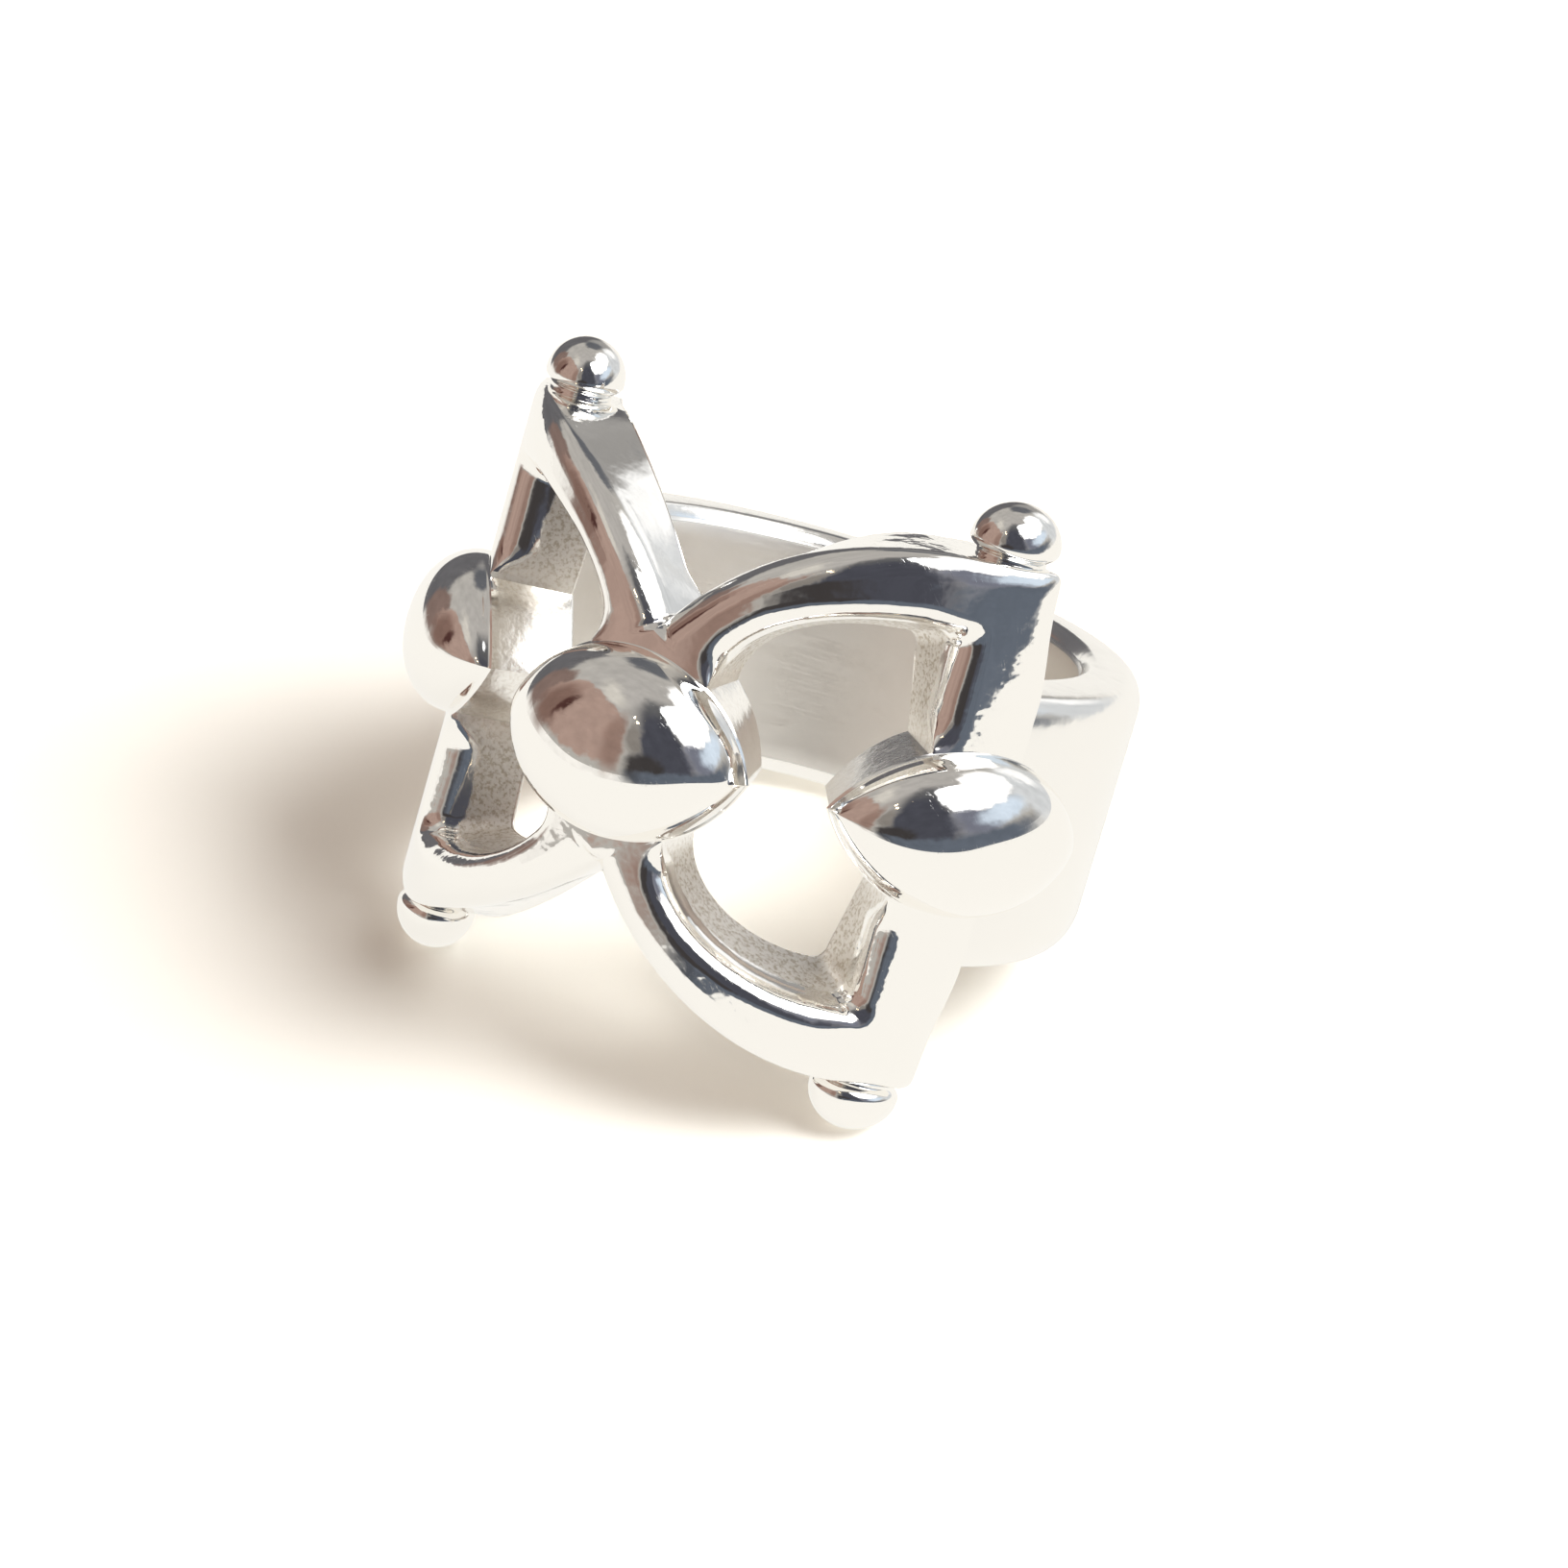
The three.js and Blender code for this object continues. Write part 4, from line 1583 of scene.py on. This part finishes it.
@dataclass(frozen=True)
class Studio:
    """The pale table, the cards and lamps round it, and the camera.

    The camera sees the table as table_seen, and the silver mirrors it mostly as table_mirrored, out to
    sheet_radius. Between the cards, the walls give the table shade_colour.
    """

    table_half_width: float = 3.0
    sheet_radius: float = 0.13
    table_colour: Triple = (0.93, 0.905, 0.86)
    table_mirrored: Triple = (1.0, 0.98, 0.93)
    mirrored_share: float = 0.9
    table_seen: Triple = (1.55, 1.5, 1.38)
    shade_colour: Triple = (0.16, 0.135, 0.105)
    wall_colour: Triple = (0.46, 0.44, 0.41)
    ceiling_colour: Triple = (0.45, 0.43, 0.41)
    camera_place: Triple = (0.10354586, -0.16794292, 0.14252616)
    camera_turn: Triple = (55.280341, -2.632566, 33.395933)
    edge_drift: float = 12.0
    mottle: float = 0.5
    drift_scale: float = 6.0
    drift_detail: float = 4.0
    ceiling_range: Pair = (10.0, 80.0)
    lens: float = 154.41
    sensor: float = 36.0
    clip_start: float = 0.01
    cards: tuple[Card, ...] = (
        # Two small warm lamps
        Card(9, 59, 1.8, 1.5, 0.4, (9.0, 7.0, 4.5), 2.0),
        Card(15, 54, 1.8, 1.5, 0.4, (9.0, 7.0, 4.5), 2.0),
        # The light box, and pale panels beside it and behind it
        Card(99, 53, 24, 17, 0.6, (8.2, 8.3, 8.4), 2.5),
        Card(128, 45, 43, 17, 0.26, (1.5, 1.5, 1.5), 3.0),
        Card(114, 20, 24, 9, 0.8, (0.68, 0.78, 0.9), 2.5),
        Card(174, 15, 9, 13, 0.9, (1.1, 1.1, 1.1), 2.0),
        # Walls at the back
        Card(-161, 36, 16, 13, 0.7, (0.13, 0.135, 0.15), 2.5),
        Card(-165, 22, 14, 17, 0.6, (0.33, 0.32, 0.31), 2.5),
        Card(160, 12, 25, 22, 0.6, (0.66, 0.68, 0.7), 2.5),
        # Dark shapes at the right
        Card(72, -1, 58, 9, 0.7, (0.12, 0.14, 0.175), 3.0),
        Card(88, 22, 18, 20, 0.9, (0.19, 0.2, 0.25), 2.5),
        Card(24, 8, 17, 16, 0.6, (0.05, 0.045, 0.045), 3.0),
        Card(12, 38, 8, 14, 0.8, (0.24, 0.22, 0.2), 2.5),
        Card(45, 28, 28, 40, 0.5, (0.068, 0.07, 0.088), 3.0),
        Card(65, 66, 52, 17, 0.9, (0.12, 0.12, 0.125), 2.5),
        # Brown shapes at the front and left
        Card(-61, 25, 3.5, 13, 1.0, (0.08, 0.035, 0.03), 2.0),
        Card(-70, 20, 13, 22, 0.9, (0.22, 0.135, 0.11), 2.5),
        Card(-6, 28, 9, 26, 0.9, (0.3, 0.2, 0.165), 2.5),
        Card(-43, 31, 43, 27, 0.12, (0.41, 0.29, 0.245), 3.0),
        Card(-93, 17, 14, 19, 0.4, (0.22, 0.155, 0.135), 2.5),
        # A dark shape at the back left, and a strip of ceiling
        Card(-128, 6, 32, 24, 0.35, (0.135, 0.132, 0.14), 3.0),
        Card(-55, 66, 38, 7, 0.9, (0.62, 0.59, 0.54), 2.5),
    )

    def build_table(self) -> None:
        """Makes the table top, which keeps the ring's shadow."""
        half = self.table_half_width
        corners = [(-half, -half, 0), (half, -half, 0), (half, half, 0), (-half, half, 0)]
        mesh = bpy.data.meshes.new("table_top")
        mesh.from_pydata(corners, [], [(0, 1, 2, 3)])
        table = add_object("table_top", mesh)
        material = bpy.data.materials.new("table_white")
        graph = Graph.on(material)
        rays = graph.add("ShaderNodeLightPath").outputs
        colour = graph.mix(rays["Is Camera Ray"], (*self.table_colour, 1), (*self.table_seen, 1))
        plain = graph.add("ShaderNodeBsdfDiffuse", {"Color": colour})
        mirrored = graph.add("ShaderNodeEmission", {"Color": (*self.table_mirrored, 1)})
        share = graph.math("MULTIPLY", rays["Is Glossy Ray"], self.mirrored_share)
        near = graph.mix_shaders(share, plain, mirrored)
        place = graph.add("ShaderNodeNewGeometry").outputs["Position"]
        away = graph.add("ShaderNodeVectorMath", {0: place}, operation="LENGTH").outputs["Value"]
        far = graph.math("GREATER_THAN", away, self.sheet_radius)
        beyond = graph.math("MULTIPLY", far, rays["Is Glossy Ray"])
        both = graph.mix_shaders(beyond, near, graph.add("ShaderNodeBsdfTransparent"))
        graph.add("ShaderNodeOutputMaterial", {"Surface": both.outputs[0]})
        mesh.materials.append(material)

    def build_surroundings(self) -> None:
        """Makes the world: plain walls with the cards, and plain white behind the camera's own view."""
        world = bpy.data.worlds.new("studio")
        bpy.context.scene.world = world
        graph = Graph.on(world)
        way = graph.add("ShaderNodeTexCoord").outputs["Generated"]
        parts = graph.split(way)
        texture = {"Vector": way, "Scale": self.drift_scale, "Detail": self.drift_detail}
        noise = graph.add("ShaderNodeTexNoise", texture).outputs
        drift = graph.add("ShaderNodeSeparateColor", {0: noise["Color"]}).outputs
        aside = graph.math("MULTIPLY_ADD", drift["Red"], self.edge_drift, -self.edge_drift / 2)
        upward = graph.math("MULTIPLY_ADD", drift["Green"], self.edge_drift, -self.edge_drift / 2)
        azimuth = graph.math("ADD", graph.math("DEGREES", graph.angle_from_front(parts)), aside)
        elevation = graph.math("ADD", graph.math("DEGREES", graph.math("ARCSINE", parts["Z"])), upward)
        height = graph.ramp(elevation, *self.ceiling_range)
        colour = graph.mix(height, (*self.wall_colour, 1), (*self.ceiling_colour, 1))
        below = graph.math("LESS_THAN", parts["Z"], 0.0)
        colour = graph.mix(below, colour, (*self.table_colour, 1))
        rays = graph.add("ShaderNodeLightPath").outputs
        colour = graph.mix(rays["Is Diffuse Ray"], colour, (*self.shade_colour, 1))
        mask = studio_card()
        for card in self.cards[::-1]:
            feeds = {"Azimuth": azimuth, "Elevation": elevation} | card.sizes()
            colour = graph.mix(graph.group(mask, feeds).outputs[0], colour, (*card.colour, 1))
        mottle = graph.math("MULTIPLY_ADD", noise["Fac"], self.mottle, 1 - self.mottle / 2)
        light = graph.add("ShaderNodeBackground", {"Color": colour, "Strength": mottle})
        white = graph.add("ShaderNodeBackground", {"Color": (1, 1, 1, 1), "Strength": 1.0})
        both = graph.mix_shaders(rays["Is Camera Ray"], light, white)
        graph.add("ShaderNodeOutputWorld", {"Surface": both.outputs[0]})

    def build_camera(self) -> None:
        """Makes the camera at the viewing place."""
        data = bpy.data.cameras.new("viewing_camera")
        data.lens = self.lens
        data.sensor_width = self.sensor
        data.clip_start = self.clip_start
        camera = add_object("viewing_camera", data)
        camera.location = self.camera_place
        camera.rotation_euler = [math.radians(angle) for angle in self.camera_turn]
        bpy.context.scene.camera = camera

    def build(self) -> None:
        """Sets up the studio."""
        bpy.context.scene.view_settings.view_transform = "Standard"
        self.build_table()
        self.build_surroundings()
        self.build_camera()
        LOG.info("studio: %d cards", len(self.cards))


def main() -> None:
    """Builds the studio and the ring's pieces in order."""
    logging.basicConfig(level=logging.INFO, format="%(name)s: %(message)s")
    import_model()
    space, band = RingSpace(), Band()
    Studio().build()

    groups = FinishGroups.build(space)
    mirror = SilverFinish("mirror_silver", wave_height=0.35, wave_size=3.0, ripple_height=0.03)
    hand = SilverFinish("hand_polished_silver", roughness=0.05, swell_radius=85)
    satin = SilverFinish("band_silver", roughness=0.16, wave_height=0.6, swell_radius=85)
    on_domes, on_frames, on_band = (
        Setting(band, space, finish.build(groups)) for finish in (mirror, hand, satin)
    )

    centre, flank = Marquise(length=9.2, width=6.6), Marquise(length=10.2, width=5.8)
    flank_reach = 12.7
    arms_proud = {Side.LEFT: (-0.15, -0.4), Side.RIGHT: (0.1, 0.0)}
    Shank().build(on_band)
    for side in Side:
        PetalFrame(side, *arms_proud[side], centre, flank, flank_reach).build(on_frames)
    Boss("centre_boss", centre, rise=2.8, reach=0.0).build(on_domes)
    for side in Side:
        node, reach = f"{side.name.lower()}_side_boss", side.value * flank_reach
        Boss(node, flank, rise=2.2, reach=reach).build(on_domes)
    CornerBeads().build(on_domes)


if __name__ == "__main__":
    main()
